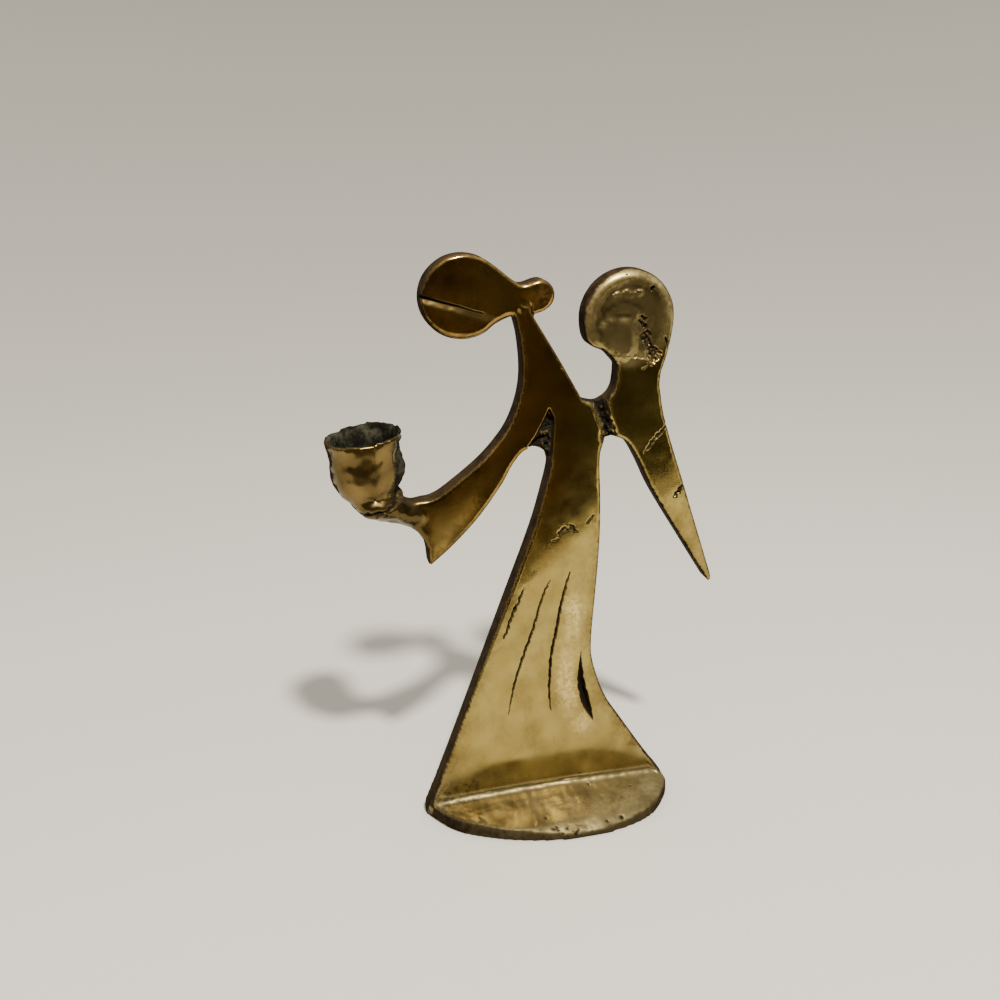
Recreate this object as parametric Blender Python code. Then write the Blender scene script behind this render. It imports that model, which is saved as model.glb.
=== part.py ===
"""Angel candle holder: one flat brass casting that stands on a foot bent forward
from its own hem. The figure holds a round candle cup in its left-hand side arm,
and a wing with a scrolled top hangs behind the shoulder.

Units are metres, +Z is up, the figure faces -Y and +X is to the viewer's right.
The origin is the middle of the foot's underside, on the table.
The plate is drawn in its own upright plane: x runs to the right, y runs up from
the table. The plane then leans forward a little, as the real one does.
"""
import bpy
import bmesh
import math
from mathutils import Vector
from mathutils.geometry import interpolate_bezier, intersect_line_line_2d

MM = 0.001

# Plate
PLATE_THICKNESS = 5.0 * MM
EDGE_ROUND = 0.9 * MM            # polished rounding of the front edges
PLATE_LEAN = math.radians(2.0)   # the plate leans this far forward
OUTLINE_STEP = 1.8 * MM          # spacing of points along curved outlines
ROUND_STEP = 1.2 * MM            # the same, where the outline is rounder

# Foot
HEM_WIDTH = 68.0 * MM
HEM_RISE = 3.2 * MM              # the hem's widest place, above the table
FOOT_DEPTH = 23.3 * MM
FOOT_EDGE_THICKNESS = 1.3 * MM   # at the thin front edge
CREASE_THICKNESS = 4.4 * MM      # where the foot's top meets the fillet
CREASE_REACH = 2.4 * MM          # fillet, forward of the plate's front
FILLET_HEIGHT = 8.0 * MM         # fillet, up the plate from the crease
HEEL_RADIUS = 1.0 * MM
FOOT_SKEW = 5.5 * MM             # deepest point of the foot, right of its middle

# Robe
ROBE_HEIGHT = 99.6 * MM          # table to the armpit line
WAIST_WIDTH = 12.8 * MM
WAIST_SHIFT = 4.4 * MM           # waist's middle, right of the hem's middle
KNEE_HEIGHT = 47.0 * MM          # narrowest place of the robe's right edge
KNEE_SHIFT = 10.8 * MM

# Neck and head
SHOULDER_RISE = 15.4 * MM        # shoulder above the armpit line
SHOULDER_INSET = 5.2 * MM        # shoulder, left of the waist's right side
NECK_LENGTH = 20.8 * MM
NECK_LEAN = 12.9 * MM            # neck's top, left of the shoulder
NECK_WIDTH = 4.4 * MM
HEAD_WIDTH = 20.0 * MM
HEAD_HEIGHT = 19.2 * MM
HEAD_REACH = 16.1 * MM           # head's middle, left of the neck's top
HEAD_LIFT = 4.4 * MM             # head's middle, above the neck's top
BUN_RADIUS = 3.7 * MM
BUN_REACH = 1.5 * MM             # bun's middle, right of the neck's top
BUN_LIFT = 4.3 * MM

# Arm, sleeve and hand
ARM_REACH = 32.4 * MM            # waist's left side to the wrist
WRIST_DROP = 11.6 * MM           # wrist's middle, below the armpit line
WRIST_WIDTH = 7.9 * MM
SLEEVE_DROP = 9.0 * MM           # sleeve's tip, below the wrist's underside
SLEEVE_INSET = 2.2 * MM          # sleeve's tip, right of the wrist
HAND_LENGTH = 16.2 * MM
HAND_RISE = 4.3 * MM
PALM_DEPTH = 15.4 * MM           # front to back, under the cup
PALM_HEIGHT = 9.2 * MM

# Candle cup
CUP_DIAMETER = 18.6 * MM         # across the rim
CUP_HEIGHT = 18.3 * MM
CUP_WALL = 1.4 * MM
CUP_LIP = 1.05 * MM               # thinned wall at the rim
CUP_DEPTH = 12.6 * MM
CUP_TILT = math.radians(2.2)     # leans away from the figure
RIM_SLOPE = math.tan(math.radians(4.6))   # the rim drops this much more, away from the figure
CUP_REACH = 11.8 * MM            # cup's bottom, left of the wrist
CUP_LIFT = 3.1 * MM              # cup's bottom, above the wrist's middle

# Wing
BRIDGE_WIDTH = 7.4 * MM          # web between shoulder and wing
BRIDGE_RISE = 1.0 * MM           # wing's root, above the shoulder
WING_DROP = 52.6 * MM            # wing's tip, below the shoulder
WING_SPREAD = 30.6 * MM          # wing's tip, right of the wing's root
WING_WIDTH = 12.4 * MM           # across the wing at its root
SCROLL_WIDTH = 22.7 * MM
SCROLL_HEIGHT = 22.6 * MM
SCROLL_RISE = 18.2 * MM          # scroll's middle, above the wing's root
SCROLL_REACH = 3.5 * MM          # scroll's middle, right of the wing's root

# Carving
GROOVE_WIDTH = 0.9 * MM
GROOVE_DEPTH = 0.8 * MM
POCKET_WIDTH = 2.2 * MM
POCKET_DEPTH = 1.6 * MM
HEAD_GROOVE_WIDTH = 1.5 * MM
SCROLL_GROOVE_WIDTH = 3.4 * MM
SCROLL_GROOVE_DEPTH = 0.9 * MM
LEDGE_WIDTH = 1.7 * MM           # step between the scroll and the wing's blade
LEDGE_DEPTH = 0.6 * MM
WEB_DEPTH = 1.5 * MM             # webs lie this far behind the front


def vec(x_mm, y_mm):
    """A point or an offset in the plate's plane, given in millimetres."""
    return Vector((x_mm * MM, y_mm * MM))


# Places that the outline is drawn from, in the plate's plane
WAIST_LEFT = Vector((WAIST_SHIFT - WAIST_WIDTH / 2, ROBE_HEIGHT))
WAIST_RIGHT = Vector((WAIST_SHIFT + WAIST_WIDTH / 2, ROBE_HEIGHT))
SHOULDER = WAIST_RIGHT + Vector((-SHOULDER_INSET, SHOULDER_RISE))
NECK_TOP = SHOULDER + Vector((-NECK_LEAN, NECK_LENGTH))
NECK_LEFT = NECK_TOP - Vector((NECK_WIDTH, 0.0))
HEAD_MIDDLE = NECK_TOP + Vector((-HEAD_REACH, HEAD_LIFT))
BUN_MIDDLE = NECK_TOP + Vector((BUN_REACH, BUN_LIFT))
WRIST = WAIST_LEFT - Vector((ARM_REACH, WRIST_DROP))
WRIST_UNDER = WRIST - Vector((0.0, WRIST_WIDTH / 2))
WRIST_TOP = WRIST + Vector((0.0, WRIST_WIDTH / 2))
SLEEVE_TIP = WRIST_UNDER + Vector((SLEEVE_INSET, -SLEEVE_DROP))
HAND_TIP = WRIST + Vector((-HAND_LENGTH, HAND_RISE))
CUP_BOTTOM = WRIST + Vector((-CUP_REACH, CUP_LIFT))
WING_ROOT = SHOULDER + Vector((BRIDGE_WIDTH, BRIDGE_RISE))
WING_TIP = Vector((WING_ROOT.x + WING_SPREAD, SHOULDER.y - WING_DROP))
SCROLL_MIDDLE = WING_ROOT + Vector((SCROLL_REACH, SCROLL_RISE))
HEM_LEFT = Vector((-HEM_WIDTH / 2, HEM_RISE))
HEM_RIGHT = Vector((HEM_WIDTH / 2, HEM_RISE))


def on_ellipse(middle, width, height, degrees):
    """The point of an ellipse at an angle from its right side, turning left."""
    angle = math.radians(degrees)
    return middle + Vector((width / 2 * math.cos(angle), height / 2 * math.sin(angle)))


def along(start, end, share, side_mm):
    """A point a share of the way from start to end, moved to the left of the way."""
    way = end - start
    left = Vector((-way.y, way.x)).normalized()
    return start + way * share + left * side_mm * MM


def smooth(points, step=OUTLINE_STEP):
    """One smooth curve through the points, sampled; its last point is left out."""
    curve = []
    last = len(points) - 1
    for index in range(last):
        here, there = points[index], points[index + 1]
        before = points[max(index - 1, 0)]
        after = points[min(index + 2, last)]
        reach = (there - here).length / 3
        leave = here + (there - before).normalized() * reach
        arrive = there - (after - here).normalized() * reach
        count = max(2, round((there - here).length / step) + 1)
        curve += [Vector(p[:2]) for p in interpolate_bezier(here, leave, arrive, there, count)[:-1]]
    return curve


def robe_left_and_sleeve_under():
    """From the hem's left up the robe, round the armpit and down the sleeve."""
    armpit = WAIST_LEFT + vec(-3.0, 3.8)
    sleeve_root = WAIST_LEFT + vec(-6.6, 3.5)
    return smooth([
        HEM_LEFT,
        along(HEM_LEFT, WAIST_LEFT, 0.1, -0.5),
        along(HEM_LEFT, WAIST_LEFT, 0.3, -0.9),
        along(HEM_LEFT, WAIST_LEFT, 0.61, -1.3),
        along(HEM_LEFT, WAIST_LEFT, 0.83, -1.6),
        along(HEM_LEFT, WAIST_LEFT, 0.95, -0.8),
        WAIST_LEFT,
        WAIST_LEFT + vec(-0.7, 2.4),
        armpit,
        sleeve_root,
        along(sleeve_root, SLEEVE_TIP, 0.13, 0.0),
        along(sleeve_root, SLEEVE_TIP, 0.26, 1.0),
        along(sleeve_root, SLEEVE_TIP, 0.55, 1.8),
        along(sleeve_root, SLEEVE_TIP, 0.8, 1.2),
        SLEEVE_TIP,
    ])


def sleeve_end_and_hand():
    """From the sleeve's tip up to the wrist, and along the hand's underside."""
    return smooth([SLEEVE_TIP, along(SLEEVE_TIP, WRIST_UNDER, 0.6, -0.6), WRIST_UNDER]) + smooth([
        WRIST_UNDER,
        along(WRIST_UNDER, HAND_TIP, 0.2, -0.5),
        along(WRIST_UNDER, HAND_TIP, 0.5, 0.8),
        along(WRIST_UNDER, HAND_TIP, 0.77, 1.0),
        HAND_TIP,
    ])


def arm_top_and_neck():
    """From the cup along the top of the arm, then up the left of the neck."""
    inside_cup = [HAND_TIP, HAND_TIP + vec(0.5, 2.2), CUP_BOTTOM + vec(0.5, 4.4)]
    arm_root = WAIST_LEFT + vec(-9.6, 12.1)
    return inside_cup + smooth([
        CUP_BOTTOM + vec(7.1, 4.4),
        CUP_BOTTOM + vec(8.1, 1.6),
        along(WRIST_TOP, arm_root, 0.03, -0.2),
        along(WRIST_TOP, arm_root, 0.12, -1.8),
        along(WRIST_TOP, arm_root, 0.28, -2.5),
        along(WRIST_TOP, arm_root, 0.6, -2.8),
        along(WRIST_TOP, arm_root, 0.85, -1.7),
        arm_root,
        along(arm_root, NECK_LEFT, 0.23, -1.7),
        along(arm_root, NECK_LEFT, 0.47, -2.2),
        along(arm_root, NECK_LEFT, 0.81, -1.3),
        NECK_LEFT,
    ])


def head_and_bun():
    """Clockwise round the head, over the nape and round the small bun."""
    head = [on_ellipse(HEAD_MIDDLE, HEAD_WIDTH, HEAD_HEIGHT, angle)
            for angle in (-42, -64, -90, -120, -150, -180, -210, -240, -265, -290, -311)]
    nape = [NECK_TOP + vec(-3.0, 7.0)]
    bun = [on_ellipse(BUN_MIDDLE, 2 * BUN_RADIUS, 2 * BUN_RADIUS, angle)
           for angle in (122, 84, 46, 8, -30, -68)]
    return smooth([NECK_LEFT] + head + nape + bun + [NECK_TOP + vec(0.2, 0.0)], ROUND_STEP)


def shoulder_and_bridge():
    """Down the right of the neck, over the web and up to the scroll's notch."""
    neck = smooth([
        NECK_TOP,
        along(NECK_TOP, SHOULDER, 0.5, 0.15),
        SHOULDER,
    ])
    web = smooth([
        SHOULDER,
        along(SHOULDER, WING_ROOT, 0.5, -1.6),
        WING_ROOT,
        WING_ROOT + vec(1.0, 3.0),
        SCROLL_MIDDLE + vec(-2.4, -11.2),
    ])
    return neck + web


def scroll_and_wing():
    """Clockwise round the scroll, then down the outer edge to the wing's tip."""
    scroll = [on_ellipse(SCROLL_MIDDLE, SCROLL_WIDTH, SCROLL_HEIGHT, angle)
              for angle in (-149, -170, -196, -224, -252, -280, -308, -336, -360)]
    outer_waist = WING_ROOT + vec(WING_WIDTH / MM, 1.2)
    notch = [SCROLL_MIDDLE + vec(-2.4, -11.2), SCROLL_MIDDLE + vec(-5.6, -8.0)]
    waist = [SCROLL_MIDDLE + vec(10.5, -8.0), SCROLL_MIDDLE + vec(9.0, -13.9), outer_waist]
    return smooth(notch + scroll + waist, ROUND_STEP) + smooth([
        outer_waist,
        along(outer_waist, WING_TIP, 0.14, -0.8),
        along(outer_waist, WING_TIP, 0.5, -0.2),
        along(outer_waist, WING_TIP, 0.86, 0.5),
        WING_TIP + vec(0.1, 1.6),
        WING_TIP,
    ])


def wing_under_and_robe_right():
    """Up the wing's inner edge, over the gap and down the robe's right edge."""
    gap_right = WAIST_RIGHT + vec(9.6, -0.2)
    knee = Vector((KNEE_SHIFT, KNEE_HEIGHT))
    return smooth([
        WING_TIP,
        along(WING_TIP, gap_right, 0.03, 0.3),
        along(WING_TIP, gap_right, 0.34, 0.6),
        along(WING_TIP, gap_right, 0.76, 0.8),
        gap_right,
        WAIST_RIGHT + vec(6.6, 4.0),
        WAIST_RIGHT + vec(3.0, 5.4),
        WAIST_RIGHT + vec(0.7, 3.6),
        WAIST_RIGHT,
        along(WAIST_RIGHT, knee, 0.15, 0.5),
        along(WAIST_RIGHT, knee, 0.4, 1.0),
        along(WAIST_RIGHT, knee, 0.7, 0.5),
        knee,
        along(knee, HEM_RIGHT, 0.14, -2.1),
        along(knee, HEM_RIGHT, 0.34, -3.2),
        along(knee, HEM_RIGHT, 0.56, -2.4),
        along(knee, HEM_RIGHT, 0.84, -1.1),
        HEM_RIGHT,
    ]) + [HEM_RIGHT]


def figure_outline():
    """The whole figure's outline, clockwise as seen from the front."""
    return (
        robe_left_and_sleeve_under()
        + sleeve_end_and_hand()
        + arm_top_and_neck()
        + head_and_bun()
        + shoulder_and_bridge()
        + scroll_and_wing()
        + wing_under_and_robe_right()
    )


def width_from(outline, start, inward):
    """How wide the plate is at a point of its outline, straight inward."""
    far = start + inward * 0.2
    nearest = 0.2
    for index, point in enumerate(outline):
        hit = intersect_line_line_2d(start + inward * 0.01 * MM, far, outline[index - 1], point)
        if hit is not None:
            nearest = min(nearest, (hit - start).length)
    return nearest


def inward_steps(outline):
    """At each point, the way that moves the edge inward by EDGE_ROUND.

    The rounding is less where the plate is narrow, as at the tips.
    """
    steps = []
    count = len(outline)
    for index, point in enumerate(outline):
        before = point - outline[index - 1]
        after = outline[(index + 1) % count] - point
        side = Vector((before.y, -before.x)).normalized()
        inward = (side + Vector((after.y, -after.x)).normalized()).normalized()
        corner = inward.dot(side)
        reach = min(EDGE_ROUND, 0.3 * width_from(outline, point, inward)) / max(corner, 0.3)
        if corner < 0.9:
            reach = min(reach, 0.5 * before.length, 0.5 * after.length)
        steps.append(inward * reach)
    return steps


def new_object(name, mesh_maker, parent=None, cutter=False):
    """An object from a function that fills a bmesh, with its faces pointing out."""
    bm = bmesh.new()
    mesh_maker(bm)
    bmesh.ops.recalc_face_normals(bm, faces=bm.faces[:])
    mesh = bpy.data.meshes.new(name)
    bm.to_mesh(mesh)
    bm.free()
    item = bpy.data.objects.new(name, mesh)
    bpy.context.scene.collection.objects.link(item)
    item.parent = parent
    if cutter:
        item.hide_render = True
        item.display_type = "WIRE"
    return item


def loft(bm, rings):
    """Closed solid through rings of equal length, capped at both ends."""
    loops = [[bm.verts.new(corner) for corner in ring] for ring in rings]
    for lower, upper in zip(loops, loops[1:]):
        count = len(lower)
        for index in range(count):
            after = (index + 1) % count
            bm.faces.new((lower[index], lower[after], upper[after], upper[index]))
    bm.faces.new(loops[0])
    bm.faces.new(loops[-1])


def plate_mesh(bm):
    """The flat figure: square back edges and rounded front edges."""
    outline = figure_outline()
    steps = inward_steps(outline)
    rings = [[(p.x, PLATE_THICKNESS, p.y) for p in outline]]
    for degrees in (0, 45, 90):
        angle = math.radians(degrees)
        share = 1 - math.cos(angle)
        depth = EDGE_ROUND * (1 - math.sin(angle))
        ring = [point + step * share for point, step in zip(outline, steps)]
        rings.append([(p.x, depth, p.y) for p in ring])
    loft(bm, rings)


def plate_front(height):
    """World Y of the plate's front at a height above the table."""
    back = FOOT_DEPTH / 2 - height * math.tan(PLATE_LEAN)
    return back - PLATE_THICKNESS / math.cos(PLATE_LEAN)


def foot_section():
    """The foot's section in world Y and Z: heel, underside, thin edge, fillet."""
    toe = -FOOT_DEPTH / 2
    heel = FOOT_DEPTH / 2
    crease = Vector((plate_front(CREASE_THICKNESS) - CREASE_REACH, CREASE_THICKNESS))
    fillet_top = CREASE_THICKNESS + FILLET_HEIGHT
    heel_top = HEM_RISE * 1.25
    seat = 0.05 * MM             # stands proud of the plate's back
    heel_middle = Vector((heel + seat - HEEL_RADIUS, HEEL_RADIUS))
    section = [Vector((toe + 0.3 * MM, 0.0))]
    for degrees in (-90, -65, -40, -15, 0):
        angle = math.radians(degrees)
        section.append(heel_middle + HEEL_RADIUS * Vector((math.cos(angle), math.sin(angle))))
    section.append(Vector((heel + seat, HEM_RISE)))
    section.append(Vector((plate_front(heel_top) + PLATE_THICKNESS / 2, heel_top + HEM_RISE / 2)))
    section.append(Vector((plate_front(fillet_top) + PLATE_THICKNESS / 2, fillet_top)))
    section += smooth([
        Vector((plate_front(fillet_top) + 0.2 * MM, fillet_top)),
        Vector((plate_front(fillet_top * 0.72) - CREASE_REACH * 0.16, fillet_top * 0.72)),
        Vector((plate_front(fillet_top * 0.5) - CREASE_REACH * 0.48, fillet_top * 0.5)),
        crease,
    ], 1.0 * MM)
    section += smooth([
        crease,
        crease + Vector((-0.3 * (crease.x - toe), -0.3 * MM)),
        crease + Vector((-0.75 * (crease.x - toe), -1.5 * MM)),
        Vector((toe + 0.4 * MM, FOOT_EDGE_THICKNESS)),
    ], 3.0 * MM)
    section.append(Vector((toe + 0.4 * MM, FOOT_EDGE_THICKNESS)))
    section.append(Vector((toe, FOOT_EDGE_THICKNESS * 0.55)))
    return section


def foot_mesh(bm):
    """The foot's section run across the hem."""
    half = HEM_WIDTH / 2 + 4.0 * MM
    section = foot_section()
    loft(bm, [[(side * half, p.x, p.y) for p in section] for side in (-1, 1)])


def foot_plan_mesh(bm):
    """The foot seen from above: a straight heel and one bowed front."""
    half = HEM_WIDTH / 2 + 0.1 * MM
    heel = FOOT_DEPTH / 2 + 1.0 * MM
    toe = -FOOT_DEPTH / 2
    bow = smooth([
        Vector((-half, FOOT_DEPTH * 0.42)),
        Vector((-half + 1.6 * MM, FOOT_DEPTH * 0.26)),
        Vector((-0.8 * half, -FOOT_DEPTH * 0.04)),
        Vector((-0.48 * half, toe + 0.2 * FOOT_DEPTH)),
        Vector((-0.14 * half, toe + 0.055 * FOOT_DEPTH)),
        Vector((FOOT_SKEW, toe)),
        Vector((0.44 * half, toe + 0.045 * FOOT_DEPTH)),
        Vector((0.72 * half, toe + 0.18 * FOOT_DEPTH)),
        Vector((0.92 * half, toe + 0.46 * FOOT_DEPTH)),
        Vector((half, toe + 0.7 * FOOT_DEPTH)),
        Vector((half, FOOT_DEPTH * 0.42)),
    ], 2.2 * MM)
    plan = bow + [Vector((half, FOOT_DEPTH * 0.42)), Vector((half, heel)), Vector((-half, heel))]
    top = CREASE_THICKNESS + FILLET_HEIGHT + 2.0 * MM
    loft(bm, [[(p.x, p.y, height) for p in plan] for height in (-1.0 * MM, top)])


def foot_sides_mesh(bm):
    """The foot seen from the front: full width low down, then inside the robe."""
    half = HEM_WIDTH / 2 + 0.3 * MM
    inside = 0.5 * MM
    top = CREASE_THICKNESS + FILLET_HEIGHT + 3.0 * MM
    outline = [p for p in figure_outline() if HEM_RISE + 1.0 * MM < p.y < top]
    left = [(p.x + inside, p.y) for p in outline if p.x < 0]
    right = [(p.x - inside, p.y) for p in outline if p.x > 0]
    low = [(half, HEM_RISE), (half, -1.0 * MM), (-half, -1.0 * MM), (-half, HEM_RISE)]
    loft(bm, [[(x, side * FOOT_DEPTH, height) for x, height in left + right + low] for side in (-1, 1)])


def palm_mesh(bm):
    """The hand's rounded palm, which runs out of the wrist and cradles the cup."""
    stations = [
        (WRIST + vec(3.4, -0.2), 0.24, 0.4),
        (WRIST + vec(0.2, 0.2), 0.42, 0.56),
        (WRIST + vec(-3.0, 1.4), 0.62, 0.66),
        (CUP_BOTTOM + vec(5.3, 1.1), 0.84, 0.84),
        (CUP_BOTTOM + vec(2.6, 1.6), 1.0, 0.96),
        (CUP_BOTTOM + vec(-0.6, 2.0), 0.98, 0.9),
        (CUP_BOTTOM + vec(-3.2, 2.7), 0.74, 0.64),
        (CUP_BOTTOM + vec(-4.6, 3.4), 0.34, 0.3),
    ]
    middle = PLATE_THICKNESS / 2
    sides = 18
    rings = []
    for point, depth_share, height_share in stations:
        ring = []
        for side in range(sides):
            angle = 2 * math.pi * side / sides
            up = math.sin(angle) * height_share * PALM_HEIGHT / 2
            out = math.cos(angle) * depth_share * PALM_DEPTH / 2
            ring.append((point.x, middle + out, point.y + up))
        rings.append(ring)
    loft(bm, rings)


def turned(bm, profile, sides=36):
    """A cup shape turned about Z from (radius, height) points, with its top on a slope."""
    rings = []
    for radius, height in profile:
        ring = []
        for side in range(sides):
            angle = 2 * math.pi * side / sides
            x = radius * math.cos(angle)
            ring.append((x, radius * math.sin(angle), height + x * RIM_SLOPE * (height / CUP_HEIGHT) ** 2))
        rings.append(ring)
    loft(bm, rings)


def cup_radius(height):
    """The cup's outer radius at a height above its bottom: round below, upright above."""
    bowl = 0.52 * CUP_HEIGHT         # height of the round part
    upright = 0.91 * CUP_DIAMETER / 2
    start = 0.12                     # share of the radius at the very bottom
    fullness = 0.74                  # under 1 swells the bowl low down
    if height < bowl:
        swell = math.sin(math.pi / 2 * (height / bowl) ** fullness)
        return upright * (start + (1 - start) * swell)
    flare = (height - bowl) / (CUP_HEIGHT - bowl)
    return upright + (CUP_DIAMETER / 2 - upright) * flare ** 3


def cup_mesh(bm):
    """The cup's outside: a round bowl, nearly upright walls and a slight flare."""
    shares = (0.0, 0.04, 0.1, 0.18, 0.27, 0.36, 0.45, 0.55, 0.75, 0.9, 0.98)
    profile = [(cup_radius(share * CUP_HEIGHT), share * CUP_HEIGHT) for share in shares]
    profile.append((CUP_DIAMETER / 2 - 0.3 * MM, CUP_HEIGHT))
    turned(bm, profile)


def cup_hollow_mesh(bm):
    """The room for the candle, one wall inside the cup's outside."""
    floor = CUP_HEIGHT - CUP_DEPTH
    corner = 0.9 * CUP_WALL          # eases the inside corner at the room's floor
    profile = [(cup_radius(floor) - CUP_WALL - corner, floor)]
    for share in (0.08, 0.3, 0.6, 0.9):
        height = floor + share * CUP_DEPTH
        profile.append((cup_radius(height) - CUP_WALL, height))
    mouth = CUP_DIAMETER / 2 - CUP_LIP
    turned(bm, profile + [(mouth, CUP_HEIGHT), (mouth, CUP_HEIGHT + 3.0 * MM)], 32)


def groove(bm, points, width, depth, step):
    """A V-shaped groove along a smooth path, tapering to both of its ends."""
    path = smooth(points, step) + [points[-1]]
    above = 0.5 * MM
    rings = []
    last = len(path) - 1
    for index, point in enumerate(path):
        way = (path[min(index + 1, last)] - path[max(index - 1, 0)]).normalized()
        across = Vector((-way.y, way.x))
        swell = 0.18 + 0.82 * math.sin(math.pi * index / last) ** 0.6
        deep = depth * swell
        half = width / 2 * swell * (deep + above) / deep
        left, right = point + across * half, point - across * half
        rings.append([(left.x, -above, left.y), (right.x, -above, right.y), (point.x, deep, point.y)])
    loft(bm, rings)


def carving_mesh(bm):
    """The grooves of the robe and head, the scroll's hollow and the low webs."""
    knee = Vector((KNEE_SHIFT, KNEE_HEIGHT))
    step = 4.0 * MM
    folds = [
        [vec(-19.2, 19.7), vec(-21.8, 13.2), vec(-24.1, 6.3)],
        [vec(-12.1, 21.4), vec(-16.8, 6.2), vec(-19.1, -0.5), vec(-21.2, -7.7), vec(-22.5, -16.8)],
        [vec(-6.9, 23.1), vec(-9.4, 12.3), vec(-10.3, 5.4), vec(-11.4, -0.7), vec(-11.6, -9.1), vec(-10.8, -17.6)],
    ]
    for fold in folds:
        groove(bm, [knee + offset for offset in fold], GROOVE_WIDTH, GROOVE_DEPTH, step)
    pocket = [knee + vec(-3.0, -2.1), knee + vec(-2.6, -10.5), knee + vec(1.1, -22.0)]
    groove(bm, pocket, POCKET_WIDTH, POCKET_DEPTH, step)
    cheek = [HEAD_MIDDLE + vec(-11.6, 0.9), HEAD_MIDDLE + vec(-5.9, -0.4), HEAD_MIDDLE + vec(0.5, -2.7),
             HEAD_MIDDLE + vec(6.4, -4.2)]
    groove(bm, cheek, HEAD_GROOVE_WIDTH, GROOVE_DEPTH, step)
    spiral = [on_ellipse(SCROLL_MIDDLE, SCROLL_WIDTH * share, SCROLL_HEIGHT * share, angle)
              for angle, share in ((172, 0.66), (130, 0.66), (90, 0.66), (50, 0.66), (10, 0.64), (-30, 0.66))]
    groove(bm, spiral, SCROLL_GROOVE_WIDTH, SCROLL_GROOVE_DEPTH, 2.5 * MM)
    ledge = [SCROLL_MIDDLE + vec(*offset) for offset in
             ((-4.6, -9.1), (-1.0, -9.2), (3.0, -9.3), (6.0, -10.4), (7.4, -12.3))]
    groove(bm, ledge, LEDGE_WIDTH, LEDGE_DEPTH, 2.0 * MM)


def web_mesh(bm):
    """Two shallow pockets: the web under the arm and the web to the wing."""
    front = -0.5 * MM
    armpit = [WAIST_LEFT + vec(*offset) for offset in
              ((-0.8, 14.0), (-2.7, 9.9), (-4.0, 7.2), (-5.6, 4.6), (-5.4, 1.9), (-1.6, 0.6),
               (-0.2, 2.5), (0.2, 4.4), (0.5, 8.4), (0.4, 11.4))]
    wing = [SHOULDER + vec(*offset) for offset in
            ((1.0, -0.2), (2.2, -2.6), (3.6, -5.0), (5.0, -7.6), (5.2, -10.5), (6.8, -12.5),
             (9.6, -11.2), (9.0, -8.5), (7.6, -4.0), (6.9, 0.0), (6.6, 1.6), (1.6, 0.6))]
    for outline in (armpit, wing):
        loft(bm, [[(p.x, depth, p.y) for p in outline] for depth in (front, WEB_DEPTH)])


def brass():
    """Old polished brass."""
    material = bpy.data.materials.new("aged_brass")
    material.use_nodes = True
    shader = material.node_tree.nodes["Principled BSDF"]
    shader.inputs["Base Color"].default_value = (0.52, 0.38, 0.14, 1.0)
    shader.inputs["Metallic"].default_value = 1.0
    shader.inputs["Roughness"].default_value = 0.3
    return material


def combine(target, other, operation):
    """Join another object to the target, or cut it out of the target."""
    modifier = target.modifiers.new(other.name, "BOOLEAN")
    modifier.operation = operation
    modifier.solver = "EXACT"
    modifier.object = other


def build():
    for item in list(bpy.data.objects):
        bpy.data.objects.remove(item, do_unlink=True)

    plane = bpy.data.objects.new("plate_plane", None)
    bpy.context.scene.collection.objects.link(plane)
    plane.location = (0.0, plate_front(0.0), 0.0)
    plane.rotation_euler = (PLATE_LEAN, 0.0, 0.0)

    casting = new_object("angel_casting", plate_mesh, plane)
    foot = new_object("foot", foot_mesh, None, True)
    plan = new_object("foot_plan", foot_plan_mesh, None, True)
    sides = new_object("foot_sides", foot_sides_mesh, None, True)
    combine(foot, plan, "INTERSECT")
    combine(foot, sides, "INTERSECT")
    palm = new_object("palm", palm_mesh, plane, True)

    cup_place = Vector((CUP_BOTTOM.x, PLATE_THICKNESS / 2, CUP_BOTTOM.y))
    cup = new_object("cup", cup_mesh, plane, True)
    hollow = new_object("cup_hollow", cup_hollow_mesh, plane, True)
    for item in (cup, hollow):
        item.location = cup_place
        item.rotation_euler = (0.0, -CUP_TILT, 0.0)

    carving = new_object("carving", carving_mesh, plane, True)
    webs = new_object("webs", web_mesh, plane, True)
    combine(casting, foot, "UNION")
    combine(casting, palm, "UNION")
    combine(casting, cup, "UNION")
    combine(casting, hollow, "DIFFERENCE")
    combine(casting, carving, "DIFFERENCE")
    combine(casting, webs, "DIFFERENCE")
    casting.data.materials.append(brass())
    casting.data.shade_smooth()
    casting.data.set_sharp_from_angle(angle=math.radians(35))


build()
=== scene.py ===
"""Looks of the angel candle holder: one old brass casting with a hand-polished
front, dark as-cast sides and back, and soot in its candle cup.

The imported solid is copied, given a fine even mesh, and settled onto the smooth
forms that it stands for. The carving, dents and pits come after that. Places on
the flat figure are given in millimetres in the plate's own plane: u to the right,
v up from the table, w back from the front.
"""
import math

import bmesh
import bpy
import numpy as np
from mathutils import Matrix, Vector, kdtree


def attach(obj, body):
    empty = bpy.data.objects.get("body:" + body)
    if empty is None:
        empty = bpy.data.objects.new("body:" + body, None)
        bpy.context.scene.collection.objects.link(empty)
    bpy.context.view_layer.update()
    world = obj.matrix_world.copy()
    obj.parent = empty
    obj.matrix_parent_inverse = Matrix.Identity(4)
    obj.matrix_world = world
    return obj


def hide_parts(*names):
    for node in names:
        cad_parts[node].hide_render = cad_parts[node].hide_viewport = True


MM = 0.001

# Camera, from the photograph's perspective
CAMERA_PLACE = (-0.0722, -0.2186, 0.171)
CAMERA_PITCH = math.radians(70.8)
CAMERA_TURN = math.radians(-14.516)
CAMERA_LENS = 36.0
SENSOR_WIDTH = 36.0

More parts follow.
